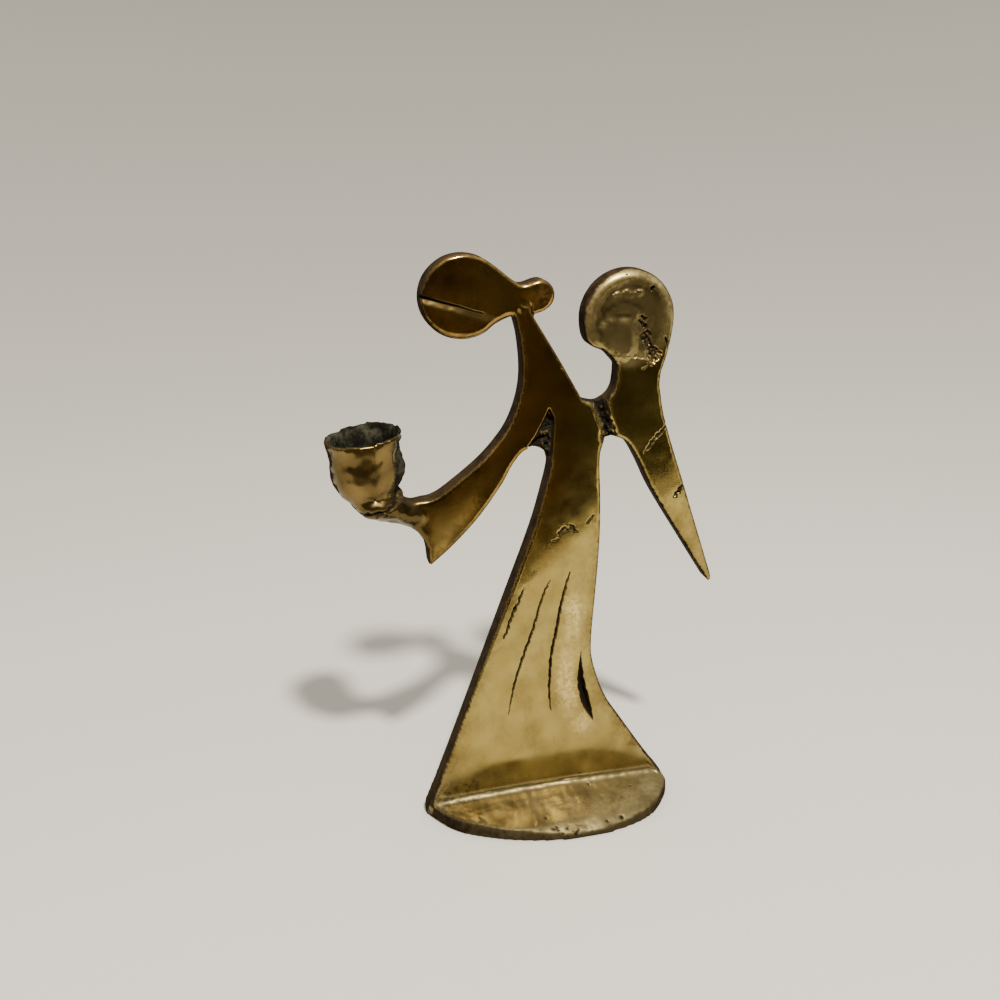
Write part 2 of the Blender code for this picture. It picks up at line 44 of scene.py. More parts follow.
# Fine mesh and edges, in millimetres
VOXEL = 0.80
WELD_REACH = 0.002      # corners nearer than this are one
EDGE_ROUND = 0.85
CHIN_ROUND = 2.0        # wider bevel under the head
SCROLL_ROUND = 2.3      # and over the scroll
BACK_ROUND = 0.6
CROWN = 0.12            # how far the front swells towards the viewer
CROWN_REACH = 2.8       # how far from the edges it rises
CROWN_EDGE = 0.7        # nearer to the edges than this it is a plain slope
CROWN_ROUNDS = 120
EDGE_SLOPE = 0.035
GRID = 0.25
GRID_LOW = (-60.0, -2.0)
GRID_SIZE = (440, 632)
FRONT_REACH = 2.6       # how far behind the front its carving still counts

# Places in the plate's plane
HEAD = (-23.4, 140.2)
BUN = (-5.7, 140.6)
SCROLL = (16.5, 134.2)
CUP_U = -46.8
CUP_W = 2.5
CUP_FROM = 96.0         # the cup's wall stands above this
HAND_TO = -31.0         # the hand ends at this u, over the fade
HAND_FADE = 4.0
HAND_TOP = 122.0
FOOT_HALF = 34.0
FOOT_TOP = 11.0         # the foot and its fillet end here
FRONT_FLAT_FROM = 14.0  # above this the front is the flat plate
BEND_TOP = 8.8          # where the robe's front starts to bend forward
BEND_END = 4.4          # where it meets the foot's top
BEND_REACH = 2.4
BEND_SHARPNESS = 4.5
WEB_DEPTH = 1.6         # how far the webs lie behind the front
ARMPIT_WEB = [(-2.8, 113.4), (-4.7, 109.5), (-6, 106.8), (-7.8, 104.2), (-7.4, 100.5), (-3, 98.2),
              (-1.8, 101), (-1.6, 104), (-1.4, 108), (-1.5, 111)]
WING_WEB = [(7.4, 117.5), (8.4, 113.2), (9.6, 110), (10.8, 107.4), (11, 104.5), (12.4, 101.5),
            (15.4, 102.8), (14.3, 106.5), (13, 110), (12.2, 113), (12, 118)]
LEG = [(5.6, 72), (4.8, 64.6), (5.2, 58.8), (5, 53), (3.6, 44.2), (3.6, 36), (5.4, 28),
       (9.6, 23), (16, 18.5)]

# Carved lines: path, width, depth and how ragged they are
SHORT_FOLD = [(-8.2, 67.2), (-9.4, 63.5), (-11, 60.2), (-12.2, 56.1), (-13.5, 52.8)]
LEFT_FOLD = [(-1.2, 68.8), (-3.1, 64.7), (-6, 53.2), (-8.3, 46.5), (-10.4, 39.3), (-11.2, 34.2),
             (-11.8, 29.6)]
MIDDLE_FOLD = [(4, 70.6), (2.3, 64.1), (1.4, 59.3), (0.5, 52.4), (-0.6, 46.3), (-0.8, 37.9),
               (-0.6, 32.6), (0.1, 28.9)]
DEEP_FOLD = [(7.8, 46.5), (7.8, 41.2), (8.2, 36.5), (9.3, 32), (10.9, 27.4), (12.2, 24.4)]
HEAD_LINE = [(-36, 141.6), (-31.1, 140.3), (-27.7, 139.2), (-24.3, 138.3), (-21.6, 137.3), (-17.6, 136.3)]
GROOVES = [(SHORT_FOLD, 0.75, 0.55, 0.35), (LEFT_FOLD, 0.7, 0.5, 0.2), (MIDDLE_FOLD, 0.75, 0.55, 0.15),
           (DEEP_FOLD, 2.3, 1.3, 0.1), (HEAD_LINE, 1.5, 0.62, 0.06)]

# Paths on the rolled wing top
STEP_LINE = [(11.4, 125.4), (13.9, 125.3), (17, 124.9), (19.6, 124.5), (22.2, 123.7), (24.4, 122)]
SWIRL = [(11.4, 135), (13.6, 136.3), (16.4, 136.4), (18.9, 134.8)]
SCROLL_LOBE = [(9.4, 132.4), (11.8, 134), (14.6, 134.1), (16.8, 132.8), (18, 130.4), (18, 126.8),
               (15.6, 124.4), (11.4, 126.2), (8.2, 129.6)]
SCROLL_PIT = [(19.6, 133.6), (20.5, 130.7), (21.4, 127.6), (23.4, 125.1)]
FLECKS = [(11, 139.3), (12.4, 139.5), (14.1, 139.9), (16.1, 140.1), (18.1, 139.8), (20.1, 140.4)]

# Round pits: u, v, radius, depth
PITS = [(21.8, 140.8, 0.62, 1.4), (15.4, 144.2, 0.3, 0.3), (18.1, 140.2, 0.28, 0.3),
        (0.6, 80.6, 0.5, 0.4), (5, 81.2, 0.5, 0.4), (9.4, 84.5, 0.45, 0.35), (-0.2, 79, 0.35, 0.25),
        (8.8, 7.2, 0.45, 0.45), (21.8, 4.2, 0.35, 0.4), (33, 77.2, 0.45, 0.5),
        (4, 117.8, 0.5, 0.5), (5.3, 115.8, 0.6, 0.6), (0.3, 122.6, 0.35, 0.3),
        (-11.5, 87.6, 0.4, 0.35), (-13, 83.2, 0.4, 0.35), (-4.9, 93, 0.3, 0.2)]
# Cuts and scrapes: start, end, width, depth
NICKS = [((25.7, 129.6), (26.4, 127.4), 0.5, 0.7), ((26.4, 127.4), (27.5, 126.2), 0.4, 0.5),
         ((28.6, 108.4), (25.1, 104), 1.1, 0.55), ((26.4, 106.4), (22.9, 101), 0.7, 0.45),
         ((24.6, 104.6), (21.9, 99.9), 0.5, 0.35), ((34.6, 92), (30.9, 88), 1.3, 0.75),
         ((0.2, 80.6), (2.3, 82.5), 0.9, 0.4), ((2.2, 82.6), (3, 81.2), 0.7, 0.35),
         ((3.2, 83.3), (5.3, 80.9), 0.8, 0.35), ((3.9, 82.4), (1.6, 80.9), 0.6, 0.3),
         ((7.6, 83), (9.9, 84.9), 0.6, 0.4), ((-1.3, 78.6), (0.7, 79.5), 0.5, 0.3),
         ((20.2, 121.6), (21.6, 122.6), 0.4, 0.3), ((21.4, 123), (23.2, 122.4), 0.4, 0.3),
         ((-24.3, 143.4), (-25.2, 140.1), 0.16, 0.04), ((-21.1, 141.8), (-21.8, 138.6), 0.16, 0.04)]
# Pits in the foot's top: u, w, radius
FOOT_PITS = [(15.7, -15.6, 0.65), (11.5, -16, 0.4), (-4.5, -12.2, 0.45), (-2.3, -15.5, 0.4),
             (-21, -12.7, 0.5), (10.8, -2.3, 0.5), (22.1, -5.2, 0.4)]
FOOT_PIT_DEPTH = 0.35
# The line between palm and cup, and the nicks in the palm: u, v, radius, depth
CREVICE = [(-50.6, 90.8), (-48.1, 91.5), (-45.7, 92), (-43.7, 92.4), (-41.9, 93), (-40.5, 93.8),
           (-39.3, 95.6)]
CREVICE_DEPTH = 0.55
PALM_NICKS = [(-48.2, 90.6, 0.55, 0.35), (-45.2, 91, 0.3, 0.25), (-43, 91.2, 0.5, 0.3)]

# Colours of the polished brass, its painted highlights and painted warm reflection, and what dulls it,
# with painted shade and a painted dark band; then of the bare casting, and of the soot, which also paints
# a dark reflection on the cup's side
BRASS = (0.400, 0.310, 0.098)
BRASS_DEEP = (0.320, 0.235, 0.066)
# Pale cream for painted highlights, partly on worn places
BRASS_HIGHLIGHT_AND_WEAR = (0.84, 0.65, 0.25)
# Orange tarnish, partly a painted warm reflection
BRASS_TARNISH_AND_REFLECTION = (0.36, 0.18, 0.04)
BRASS_SATIN = (0.37, 0.305, 0.150)
# Patina, also the colour of painted shade and of a painted dark reflection band
PATINA_AND_SHADE = (0.105, 0.070, 0.020)
PATINA_AND_SHADE_SATIN = (0.080, 0.064, 0.030)
CLOUD = (0.13, 0.088, 0.028)
SPECK = (0.12, 0.075, 0.025)
CAST = (0.050, 0.031, 0.014)
CAST_DARK = (0.018, 0.012, 0.006)
CAST_GLINT = (0.16, 0.115, 0.045)
# Soot black, also a painted dark reflection on the cup's outer right side
SOOT_AND_REFLECTION_BLACK = (0.008, 0.008, 0.005)
SOOT_AND_REFLECTION_GREY = (0.075, 0.071, 0.046)
DIRT = (0.010, 0.008, 0.005)


def ramp(low, high, value):
    """0 at low, 1 at high and smooth between them. It falls where low is above high."""
    share = np.clip((value - low) / (high - low), 0.0, 1.0)
    return share * share * (3.0 - 2.0 * share)


def bump(value, middle, width):
    """A bell of height 1 around the middle."""
    return np.exp(-((value - middle) / width) ** 2)


def both_ends(run, fade):
    """0 at both ends of a path, 1 along the rest of it."""
    return ramp(0, fade, run) * ramp(0, fade, 1 - run)


def waves(points, seed, length, count=24):
    """A smooth random field: many plane waves of about one length, the same each run."""
    random = np.random.default_rng(seed)
    ways = random.normal(size=(count, 3))
    ways /= np.linalg.norm(ways, axis=1)[:, None]
    ways = ways * (2 * math.pi / length * random.uniform(0.6, 1.5, count))[:, None]
    total = np.zeros(len(points))
    for way, phase in zip(ways, random.uniform(0, 2 * math.pi, count)):
        total += np.sin(points @ way + phase)
    return total * math.sqrt(2.0 / count)


def near_path(uv, path):
    """For each point: its distance from the path, how far along it is, and its side."""
    best = np.full(len(uv), 1e9)
    share = np.zeros(len(uv))
    side = np.zeros(len(uv))
    path = np.array(path, float)
    lengths = np.linalg.norm(np.diff(path, axis=0), axis=1)
    gone = 0.0
    for start, end, length in zip(path, path[1:], lengths):
        way = (end - start) / length
        offset = uv - start
        along = np.clip(offset @ way, 0.0, length)
        apart = offset - along[:, None] * way
        distance = np.hypot(apart[:, 0], apart[:, 1])
        closer = distance < best
        best[closer] = distance[closer]
        share[closer] = (gone + along[closer]) / lengths.sum()
        side[closer] = (apart[:, 0] * -way[1] + apart[:, 1] * way[0])[closer]
        gone += length
    return best, share, side


def rounded(path, rounds=2):
    """The path with its corners cut."""
    path = np.array(path, float)
    for _ in range(rounds):
        first = 0.75 * path[:-1] + 0.25 * path[1:]
        second = 0.25 * path[:-1] + 0.75 * path[1:]
        path = np.vstack([path[:1], np.stack([first, second], 1).reshape(-1, 2), path[-1:]])
    return path


def inside(uv, outline):
    """Signed distance to a closed outline, positive inside it."""
    ring = list(outline) + [outline[0]]
    distance = near_path(uv, ring)[0]
    crossings = np.zeros(len(uv), bool)
    for (x0, y0), (x1, y1) in zip(ring, ring[1:]):
        spans = (y0 > uv[:, 1]) != (y1 > uv[:, 1])
        cut = x0 + (uv[:, 1] - y0) * (x1 - x0) / (y1 - y0 if y1 != y0 else 1e-9)
        crossings ^= spans & (uv[:, 0] < cut)
    return np.where(crossings, distance, -distance)


class Plate:
    """The flat figure's plane and thickness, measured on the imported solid."""

    def __init__(self, mesh):
        front = max((p for p in mesh.polygons if p.normal.y < -0.9), key=lambda p: p.area)
        back = max((p for p in mesh.polygons if p.normal.y > 0.9), key=lambda p: p.area)
        normal = back.normal
        lean = math.atan2(normal.z, normal.y)
        self.cos, self.sin = math.cos(lean), math.sin(lean)
        self.front = (front.center.y * self.cos + front.center.z * self.sin) / self.cos
        self.thickness = (back.center - front.center).dot(normal) / MM

    def flat(self, world):
        """World metres to the plate's (u, v, w) in millimetres."""
        y, z = world[:, 1] - self.front, world[:, 2]
        return np.stack([world[:, 0], z * self.cos - y * self.sin, y * self.cos + z * self.sin], 1) / MM

    def world(self, flat):
        """The plate's (u, v, w) in millimetres to world metres."""
        u, v, w = (flat * MM).T
        return np.stack([u, self.front + w * self.cos - v * self.sin, w * self.sin + v * self.cos], 1)


def added(name, data):
    """A new object in the scene."""
    item = bpy.data.objects.new(name, data)
    bpy.context.scene.collection.objects.link(item)
    return item


def read(items, name, columns, kind=float):
    """One value of all the items, a row each."""
    values = np.zeros(len(items) * columns, kind)
    items.foreach_get(name, values)
    return values.reshape(-1, columns)


def coordinates(mesh):
    """The corners' places."""
    return read(mesh.vertices, "co", 3)


def set_coordinates(mesh, points):
    """Moves the corners to the given places."""
    mesh.vertices.foreach_set("co", np.ascontiguousarray(points, np.float32).ravel())
    mesh.update()


def vertex_normals(mesh):
    """The way out of the surface at each corner."""
    return read(mesh.vertex_normals, "vector", 3, np.float32).astype(float)


def face_middles(mesh):
    """The middle of each face."""
    return read(mesh.polygons, "center", 3)


def edges_of(mesh):
    """The two corners of each edge."""
    return read(mesh.edges, "vertices", 2, np.int32)


def neighbour_mean(values, pairs, count):
    """The mean of each corner's neighbours."""
    total = np.bincount(pairs[:, 0], values[pairs[:, 1]], count)
    total += np.bincount(pairs[:, 1], values[pairs[:, 0]], count)
    return total / np.maximum(np.bincount(pairs.ravel(), minlength=count), 1)


def relax(points, pairs, rounds, share, back=-0.52):
    """Smooths points by a share for each, and steps back after each round to keep the form."""
    count = len(points)
    for _ in range(rounds):
        for step in (0.5, back):
            mean = np.column_stack([neighbour_mean(points[:, axis], pairs, count) for axis in range(3)])
            points = points + (mean - points) * (share * step)[:, None]
    return points


def back_edge_chains(mesh, plate):
    """The plate's outline, as runs of points on its back edge with the side that faces out."""
    bm = bmesh.new()
    bm.from_mesh(mesh)
    bmesh.ops.remove_doubles(bm, verts=bm.verts[:], dist=WELD_REACH * MM)
    flat = plate.flat(np.array([v.co for v in bm.verts]))
    behind = np.abs(flat[:, 2] - plate.thickness) < 0.02
    back_way = Vector((0.0, plate.cos, plate.sin))
    links = {}
    for edge in bm.edges:
        a, b = edge.verts
        if not (behind[a.index] and behind[b.index]) or len(edge.link_faces) != 2:
            continue
        sides = [face for face in edge.link_faces if abs(face.normal.dot(back_way)) < 0.05]
        backs = [face for face in edge.link_faces if face.normal.dot(back_way) > 0.99]
        if len(sides) == 1 and len(backs) == 1:
            out = sides[0].normal
            out = np.array([out.x, out.z * plate.cos - out.y * plate.sin])
            links.setdefault(a.index, []).append((b.index, out))
            links.setdefault(b.index, []).append((a.index, out))
    bm.free()
    chains = []
    left = set(links)
    while left:
        ends = [index for index in left if len(links[index]) == 1]
        here = min(ends) if ends else min(left)
        chain, outs = [here], []
        left.discard(here)
        while True:
            onward = [(there, out) for there, out in links[here] if there in left]
            if not onward:
                break
            here, out = onward[0]
            left.discard(here)
            chain.append(here)
            outs.append(out)
        if len(chain) > 3:
            chains.append((flat[chain][:, :2], np.array(outs)))
    return chains


def smooth_outline(chains, step=0.12):
    """Points close together on a smooth curve through each chain, with inward ways."""
    places, inward = [], []
    for points, outs in chains:
        ways = np.diff(points, axis=0)
        lengths = np.linalg.norm(ways, axis=1)
        ways = ways / lengths[:, None]
        left = np.stack([-ways[:, 1], ways[:, 0]], 1)
        sign = -np.sign((left * outs).sum())
        turns = (ways[:-1] * ways[1:]).sum(1)
        tangents = np.zeros_like(points)
        tangents[1:-1] = ways[:-1] + ways[1:]
        tangents[0], tangents[-1] = ways[0], ways[-1]
        tangents /= np.linalg.norm(tangents, axis=1)[:, None]
        for index, length in enumerate(lengths):
            start, end = points[index], points[index + 1]
            leave, arrive = tangents[index], tangents[index + 1]
            if index > 0 and turns[index - 1] < 0.75:
                leave = ways[index]
            if index < len(turns) and turns[index] < 0.75:
                arrive = ways[index]
            count = max(2, int(length / step))
            for t in np.arange(count) / count:
                places.append((1 + t * t * (2 * t - 3)) * start + t * t * (3 - 2 * t) * end
                              + t * (1 - t) ** 2 * length * leave + t * t * (t - 1) * length * arrive)
                way = ((6 * t * t - 6 * t) * (start - end) / length + (1 - t) * (1 - 3 * t) * leave
                       + t * (3 * t - 2) * arrive)
                way /= np.linalg.norm(way)
                inward.append(sign * np.array([-way[1], way[0]]))
    return np.array(places), np.array(inward)


class Outline:
    """Nearest place on the plate's outline."""

    same = 0.12  # how far along the outline still counts as beside the place

    def __init__(self, chains):
        self.places, self.inward = smooth_outline(chains)
        self.tree = kdtree.KDTree(len(self.places))
        for index, (u, v) in enumerate(self.places):
            self.tree.insert((u, v, 0.0), index)
        self.tree.balance()

    def query(self, uv):
        """The nearest place, the way inward there, and the signed distance inward."""
        found = np.array([self.tree.find((u, v, 0.0))[1] for u, v in uv])
        place = self.places[found]
        inward = self.inward[found].copy()
        offset = uv - place
        depth = (offset * inward).sum(1)
        slide = offset - depth[:, None] * inward
        slid = np.hypot(slide[:, 0], slide[:, 1])
        place = place + slide * (slid < self.same)[:, None]
        corner = slid >= self.same
        reach = np.hypot(offset[:, 0], offset[:, 1])
        sign = np.where(depth < 0, -1.0, 1.0)
        inward[corner] = (offset[corner].T / reach[corner] * sign[corner]).T
        depth[corner] = (reach * sign)[corner]
        return place, inward, depth


class Crown:
    """How far the polished front swells: a soft dome that meets the edges at a slope."""

    def __init__(self, outline):
        across = GRID_LOW[0] + GRID * np.arange(GRID_SIZE[0])
        up = GRID_LOW[1] + GRID * np.arange(GRID_SIZE[1])
        u, v = np.meshgrid(across, up, indexing="ij")
        coarse = outline.query(np.column_stack([u[::2, ::2].ravel(), v[::2, ::2].ravel()]))[2]
        coarse = coarse.reshape(u[::2, ::2].shape)
        height = None
        for factor in (4, 2, 1):
            depth = self.resized(coarse, u[::factor, ::factor].shape, factor / 2)
            spread = (CROWN_REACH / (GRID * factor)) ** 2
            held = depth < CROWN_EDGE
            edge = EDGE_SLOPE * np.clip(depth, 0.0, None)
            if height is None:
                height = np.where(held, edge, CROWN)
            else:
                height = self.resized(height, depth.shape, 0.5)
            for _ in range(CROWN_ROUNDS):
                total = np.zeros_like(height)
                total[1:-1, 1:-1] = (height[:-2, 1:-1] + height[2:, 1:-1]
                                     + height[1:-1, :-2] + height[1:-1, 2:])
                wanted = (CROWN + spread * total) / (1 + 4 * spread)
                height = np.where(held, edge, 0.2 * height + 0.8 * wanted)
        self.height = height

    @staticmethod
    def resized(grid, shape, scale):
        """A grid read at points that lie a scale of its own step apart."""
        rows = np.clip(np.arange(shape[0]) * scale, 0, grid.shape[0] - 1.001)
        columns = np.clip(np.arange(shape[1]) * scale, 0, grid.shape[1] - 1.001)
        r, c = rows.astype(int), columns.astype(int)
        fr, fc = (rows - r)[:, None], (columns - c)[None, :]
        low = grid[r][:, c] * (1 - fc) + grid[r][:, c + 1] * fc
        high = grid[r + 1][:, c] * (1 - fc) + grid[r + 1][:, c + 1] * fc
        return low * (1 - fr) + high * fr

    def at(self, uv):
        """The height at any points, by cubic weights, so that its slope is even."""
        places = (uv - np.array(GRID_LOW)) / GRID
        places = np.clip(places, 1.0, np.array(GRID_SIZE) - 3.0)
        cell = places.astype(int)
        t = places - cell
        weights = [(1 - t) ** 3 / 6, (3 * t ** 3 - 6 * t ** 2 + 4) / 6,
                   (-3 * t ** 3 + 3 * t ** 2 + 3 * t + 1) / 6, t ** 3 / 6]
        total = np.zeros(len(uv))
        for i in range(4):
            for j in range(4):
                there = self.height[cell[:, 0] + i - 1, cell[:, 1] + j - 1]
                total += weights[i][:, 0] * weights[j][:, 1] * there
        return total


def web_depth(flat):
    """How far the rough webs lie behind the front."""
    uv = flat[:, :2]
    armpit = ramp(-0.25, 0.4, inside(uv, ARMPIT_WEB))
    wing = ramp(-0.9, 1.6, inside(uv, WING_WEB))
    return WEB_DEPTH * np.maximum(armpit, wing)


def settle(flat, outline, plate):
    """Moves points near the plate's surface onto it: flat faces with rounded edges."""
    place, inward, depth = outline.query(flat[:, :2])
    front = web_depth(flat)
    rounding = EDGE_ROUND
    for disc, radius, way in ((HEAD, CHIN_ROUND, 1), (SCROLL, SCROLL_ROUND, -1)):
        wider = (radius - EDGE_ROUND) * np.clip(way * inward[:, 1], 0, 1)
        rounding = rounding + wider * near_disc(flat, disc)
    w = flat[:, 2] - front
    thick = plate.thickness - front
    moved_w = w.copy()
    moved_depth = depth.copy()
    near_front = w < thick / 2
    back_rounding = np.full(len(w), BACK_ROUND)
    for half, radius, height in ((near_front, rounding, w), (~near_front, back_rounding, thick - w)):
        flush = half & (depth >= radius)
        side = half & (depth < radius) & (height >= radius)
        corner = half & (depth < radius) & (height < radius)
        across, down = depth - radius, height - radius
        size = np.maximum(np.hypot(across, down), 1e-9)
        new_height = np.where(flush, 0.0, np.where(corner, radius + radius * down / size, height))
        moved_depth = np.where(side, 0.0, np.where(corner, radius + radius * across / size, moved_depth))
        moved_w = np.where(half, np.where(near_front, new_height, thick - new_height), moved_w)
    uv = place + inward * moved_depth[:, None]
    return np.column_stack([uv, moved_w + front]), depth


def apart_from(flat, place):
    """How far each point lies from a place in the plate's plane."""
    return np.hypot(flat[:, 0] - place[0], flat[:, 1] - place[1])


def near_disc(flat, middle):
    """1 on the head's or the scroll's disc, 0 away from it."""
    return ramp(13, 10.8, apart_from(flat, middle))


def on_plane(uv):
    """Points in the plate's plane, as places for the random fields."""
    return np.column_stack([uv, np.zeros(len(uv))])


def hand_share(flat):
    """1 at the cup and the palm, 0 elsewhere."""
    return ramp(HAND_TO, HAND_TO - HAND_FADE, flat[:, 0]) * (flat[:, 1] < HAND_TOP)


def foot_share(flat):
    """1 at the foot and its fillet, 0 on the plate above."""
    return ramp(FRONT_FLAT_FROM, FOOT_TOP, flat[:, 1])


def subdivide_near(mesh, chosen):
    """Splits the chosen faces once."""
    bm = bmesh.new()
    bm.from_mesh(mesh)
    bm.faces.ensure_lookup_table()
    edges = {edge for index in np.nonzero(chosen)[0] for edge in bm.faces[index].edges}
    bmesh.ops.subdivide_edges(bm, edges=sorted(edges, key=lambda e: e.index), cuts=1, use_grid_fill=True)
    bm.to_mesh(mesh)
    bm.free()


def remeshed(source, plate):
    """The solid with an even fine mesh, in the plate's own millimetres."""
    mesh = source.copy()
    set_coordinates(mesh, plate.flat(coordinates(source)))
    scratch = added("scratch", mesh)
    weld = scratch.modifiers.new("weld", "WELD")
    weld.merge_threshold = WELD_REACH
    modifier = scratch.modifiers.new("voxels", "REMESH")
    modifier.mode = "VOXEL"
    modifier.voxel_size = VOXEL
    fine = bpy.data.meshes.new_from_object(scratch.evaluated_get(bpy.context.evaluated_depsgraph_get()))
    bpy.data.objects.remove(scratch, do_unlink=True)
    return fine


def carved_distance(uv):
    """How near each point is to something carved or dented that needs a fine mesh."""
    nearest = np.full(len(uv), 1e9)
    curves = [(path, width) for path, width, _, _ in GROOVES]
    for path, width in curves + [(STEP_LINE, 0.6), (SCROLL_PIT, 1.8), (FLECKS, 0.6)]:
        nearest = np.minimum(nearest, near_path(uv, rounded(path))[0] - width)
    for start, end, width, _ in NICKS:
        nearest = np.minimum(nearest, near_path(uv, [start, end])[0] - width)
    for u, v, radius, _ in PITS:
        nearest = np.minimum(nearest, apart_from(uv, (u, v)) - radius - 0.3)
    for web in (ARMPIT_WEB, WING_WEB):
        nearest = np.minimum(nearest, -inside(uv, web) - 0.4)
    return nearest


def head_line_form(uv, depth, coarse):
    """The line across the head, steep above and sloping below: its cut, its lip and its dirt."""
    distance, share, side = near_path(uv, rounded(HEAD_LINE))
    taper = 0.35 + 0.65 * ramp(0.95, 0.1, share)
    run = ramp(1, 0.9, share)
    slope = ramp(1.8 + 0.08 * coarse, 0, -side)
    form = np.where(side > 0, ramp(0.35, 0, distance), slope * (distance < 2.4))
    dirt = ramp(0.5, 0.15, distance / (0.4 + 0.9 * taper))
    return depth * taper * form * run, 0.0, dirt * run


def fold_form(uv, path, width, depth, ragged, coarse):
    """A fold of the robe, thinning out at both ends: its cut, its lip and its dirt."""
    distance, share, _ = near_path(uv, rounded(path))
    if path is DEEP_FOLD:
        taper = np.sin(math.pi * np.clip(share, 0, 1) ** 1.35) ** 0.9 * 1.15 + 0.05
    else:
        taper = np.clip(4.2 * share * (1.02 - share) / 1.05, 0.0, 1.0) ** 0.45
    half = np.maximum(0.5 * width * taper * (1 + 0.55 * ragged * coarse), 0.05)
    form = ramp(1, 0.15, distance / half)
    lip = bump(distance, 1.25 * half, 0.22) * 0.05 * taper * (form < 0.02)
    run = both_ends(share, 0.02)
    return depth * taper * form * run, lip, form * run


def carving(uv):
    """How deep each point is cut, and how dirty it is there."""
    points = on_plane(uv)
    wobble = np.column_stack([waves(points, 11, 1.7), waves(points, 12, 1.7)])
    coarse = waves(points, 13, 2.6)
    fine = waves(points, 14, 0.8)
    cut = np.zeros(len(uv))
    dirt = np.zeros(len(uv))
    for path, width, depth, ragged in GROOVES:
        strayed = uv + wobble * 0.35 * ragged
        if path is HEAD_LINE:
            groove, lip, dirty = head_line_form(strayed, depth, coarse)
        else:
            groove, lip, dirty = fold_form(strayed, path, width, depth, ragged, coarse)
        cut = np.maximum(cut, groove) - lip
        dirt = np.maximum(dirt, dirty)
    for start, end, width, depth in NICKS:
        distance, share, _ = near_path(uv + wobble * 0.12, [start, end])
        taper = np.sqrt(np.clip(4 * share * (1 - share), 0, 1)) * 0.8 + 0.2
        form = ramp(1, 0.1, distance / (0.5 * width * taper * (1 + 0.3 * fine)).clip(0.05))
        cut = np.maximum(cut, depth * form)
        cut -= 0.12 * depth * bump(distance, 0.75 * width, 0.3 * width)
        stained = ramp(1.25, 0.45, distance / (0.5 * width * taper).clip(0.05))
        dirt = np.maximum(dirt, 0.85 * stained * (depth > 0.1))
    for u, v, radius, depth in PITS:
        distance = np.hypot(uv[:, 0] - u + 0.15 * wobble[:, 0], uv[:, 1] - v + 0.15 * wobble[:, 1])
        form = ramp(1, 0.3, distance / radius)
        cut = np.maximum(cut, depth * form)
        cut -= 0.05 * bump(distance, 1.35 * radius, 0.25)
        dirt = np.maximum(dirt, form)
    return cut, dirt


def scroll_form(uv):
    """The rolled wing top: a rim, a sunken ring inside it, a raised lobe, a rough pit and a step."""
    points = on_plane(uv)
    rough = waves(points, 21, 1.2)
    slow = waves(points, 22, 3.0)
    offset = uv - np.array(SCROLL)
    true_reach = apart_from(uv, SCROLL)
    reach = true_reach + 0.12 * slow
    angle = np.degrees(np.arctan2(offset[:, 1], offset[:, 0]))
    turned = np.where(angle < -120.0, angle + 360.0, angle)
    sector = ramp(15, 60, turned) * ramp(225, 175, turned)
    height = -0.50 * ramp(9.2, 7.4, reach) * (1 - 0.6 * ramp(7.2, 4, reach)) * sector
    right = ramp(60, 20, turned) * ramp(-75, -35, turned)
    height -= 0.22 * ramp(9, 6, reach) * ramp(0, 4, reach) * right
    height += 0.55 * ramp(-1, 0.6, inside(uv, SCROLL_LOBE) + 0.12 * slow)
    for path, rise, width in ((FLECKS, 0.24, 0.75), (SWIRL, 0.20, 0.8)):
        distance, run, _ = near_path(uv, rounded(path))
        height += rise * bump(distance, 0, width) * both_ends(run, 0.15)
    fleck, run, _ = near_path(uv + np.array((0.0, -0.45)), rounded(FLECKS))
    height += 0.12 * bump(fleck, 0, 0.4) * both_ends(run, 0.1) * np.clip(rough, -0.3, 2)
    pit, run, _ = near_path(uv, rounded(SCROLL_PIT))
    pitted = ramp(1, 0.1, (pit - 0.45 * slow - 0.25 * rough) / (0.7 + 1.5 * run))
    height -= pitted * (0.55 + 0.20 * rough)
    step, run, side = near_path(uv, rounded(STEP_LINE))
    above = ramp(-0.15, 0.2, side + 0.12 * rough) * np.exp(-np.clip(side, 0, None) / 2.2)
    height -= 0.34 * above * both_ends(run, 0.06) * (step < 6)
    height += 0.02 * waves(points, 23, 1.8) * ramp(9.5, 8, reach)
    # Painted shade: darker in the sunken ring under the rim and beside the swirl
    beside_swirl = bump(near_path(uv, rounded(SWIRL))[0], 1.5, 0.5)
    shade = (0.75 * bump(reach, 8.2, 0.75) + 0.5 * beside_swirl) * sector
    near = ramp(15, 12, true_reach)
    return height * near, pitted * ramp(1.2, 0, rough) * near, shade * near


def front_height(flat, crown):
    """All that rises from the flat front, less all that is cut into it, with its dirt and shade."""
    uv = flat[:, :2]
    points = on_plane(uv)
    height = crown.at(uv)
    for seed, length, swing in ((1, 16.0, 0.012), (2, 6.0, 0.006), (3, 2.0, 0.0016)):
        height += swing * waves(points, seed, length)
    distance, share, _ = near_path(uv, rounded(LEG))
    height += 0.42 * bump(distance, 0, 3.4) * ramp(0, 0.45, share) * ramp(0, 0.3, 1 - share)
    height += 0.006 * waves(points, 4, 2.6) * bump(distance, 0, 3)
    scroll, pitted, shade = scroll_form(uv)
    cut, dirt = carving(uv)
    height += 0.42 * bump(apart_from(uv, BUN), 0, 2.8)
    return height + scroll - cut, np.maximum(dirt, pitted * 0.9), shade


def web_roughness(flat):
    """Rough cast lumps in the two webs, and how dark the webs are between the lumps' tops."""
    uv = flat[:, :2]
    rough = 0.24 * waves(flat, 31, 2.2) + 0.16 * waves(flat, 32, 1.0)
    armpit = ramp(0.1, 0.7, inside(uv, ARMPIT_WEB))
    wing = ramp(0, 1.2, inside(uv, WING_WEB))
    web = np.maximum(armpit, wing)
    fleck = ramp(0.20, 0.42, rough)
    return web * rough, web * (1 - 0.75 * fleck)


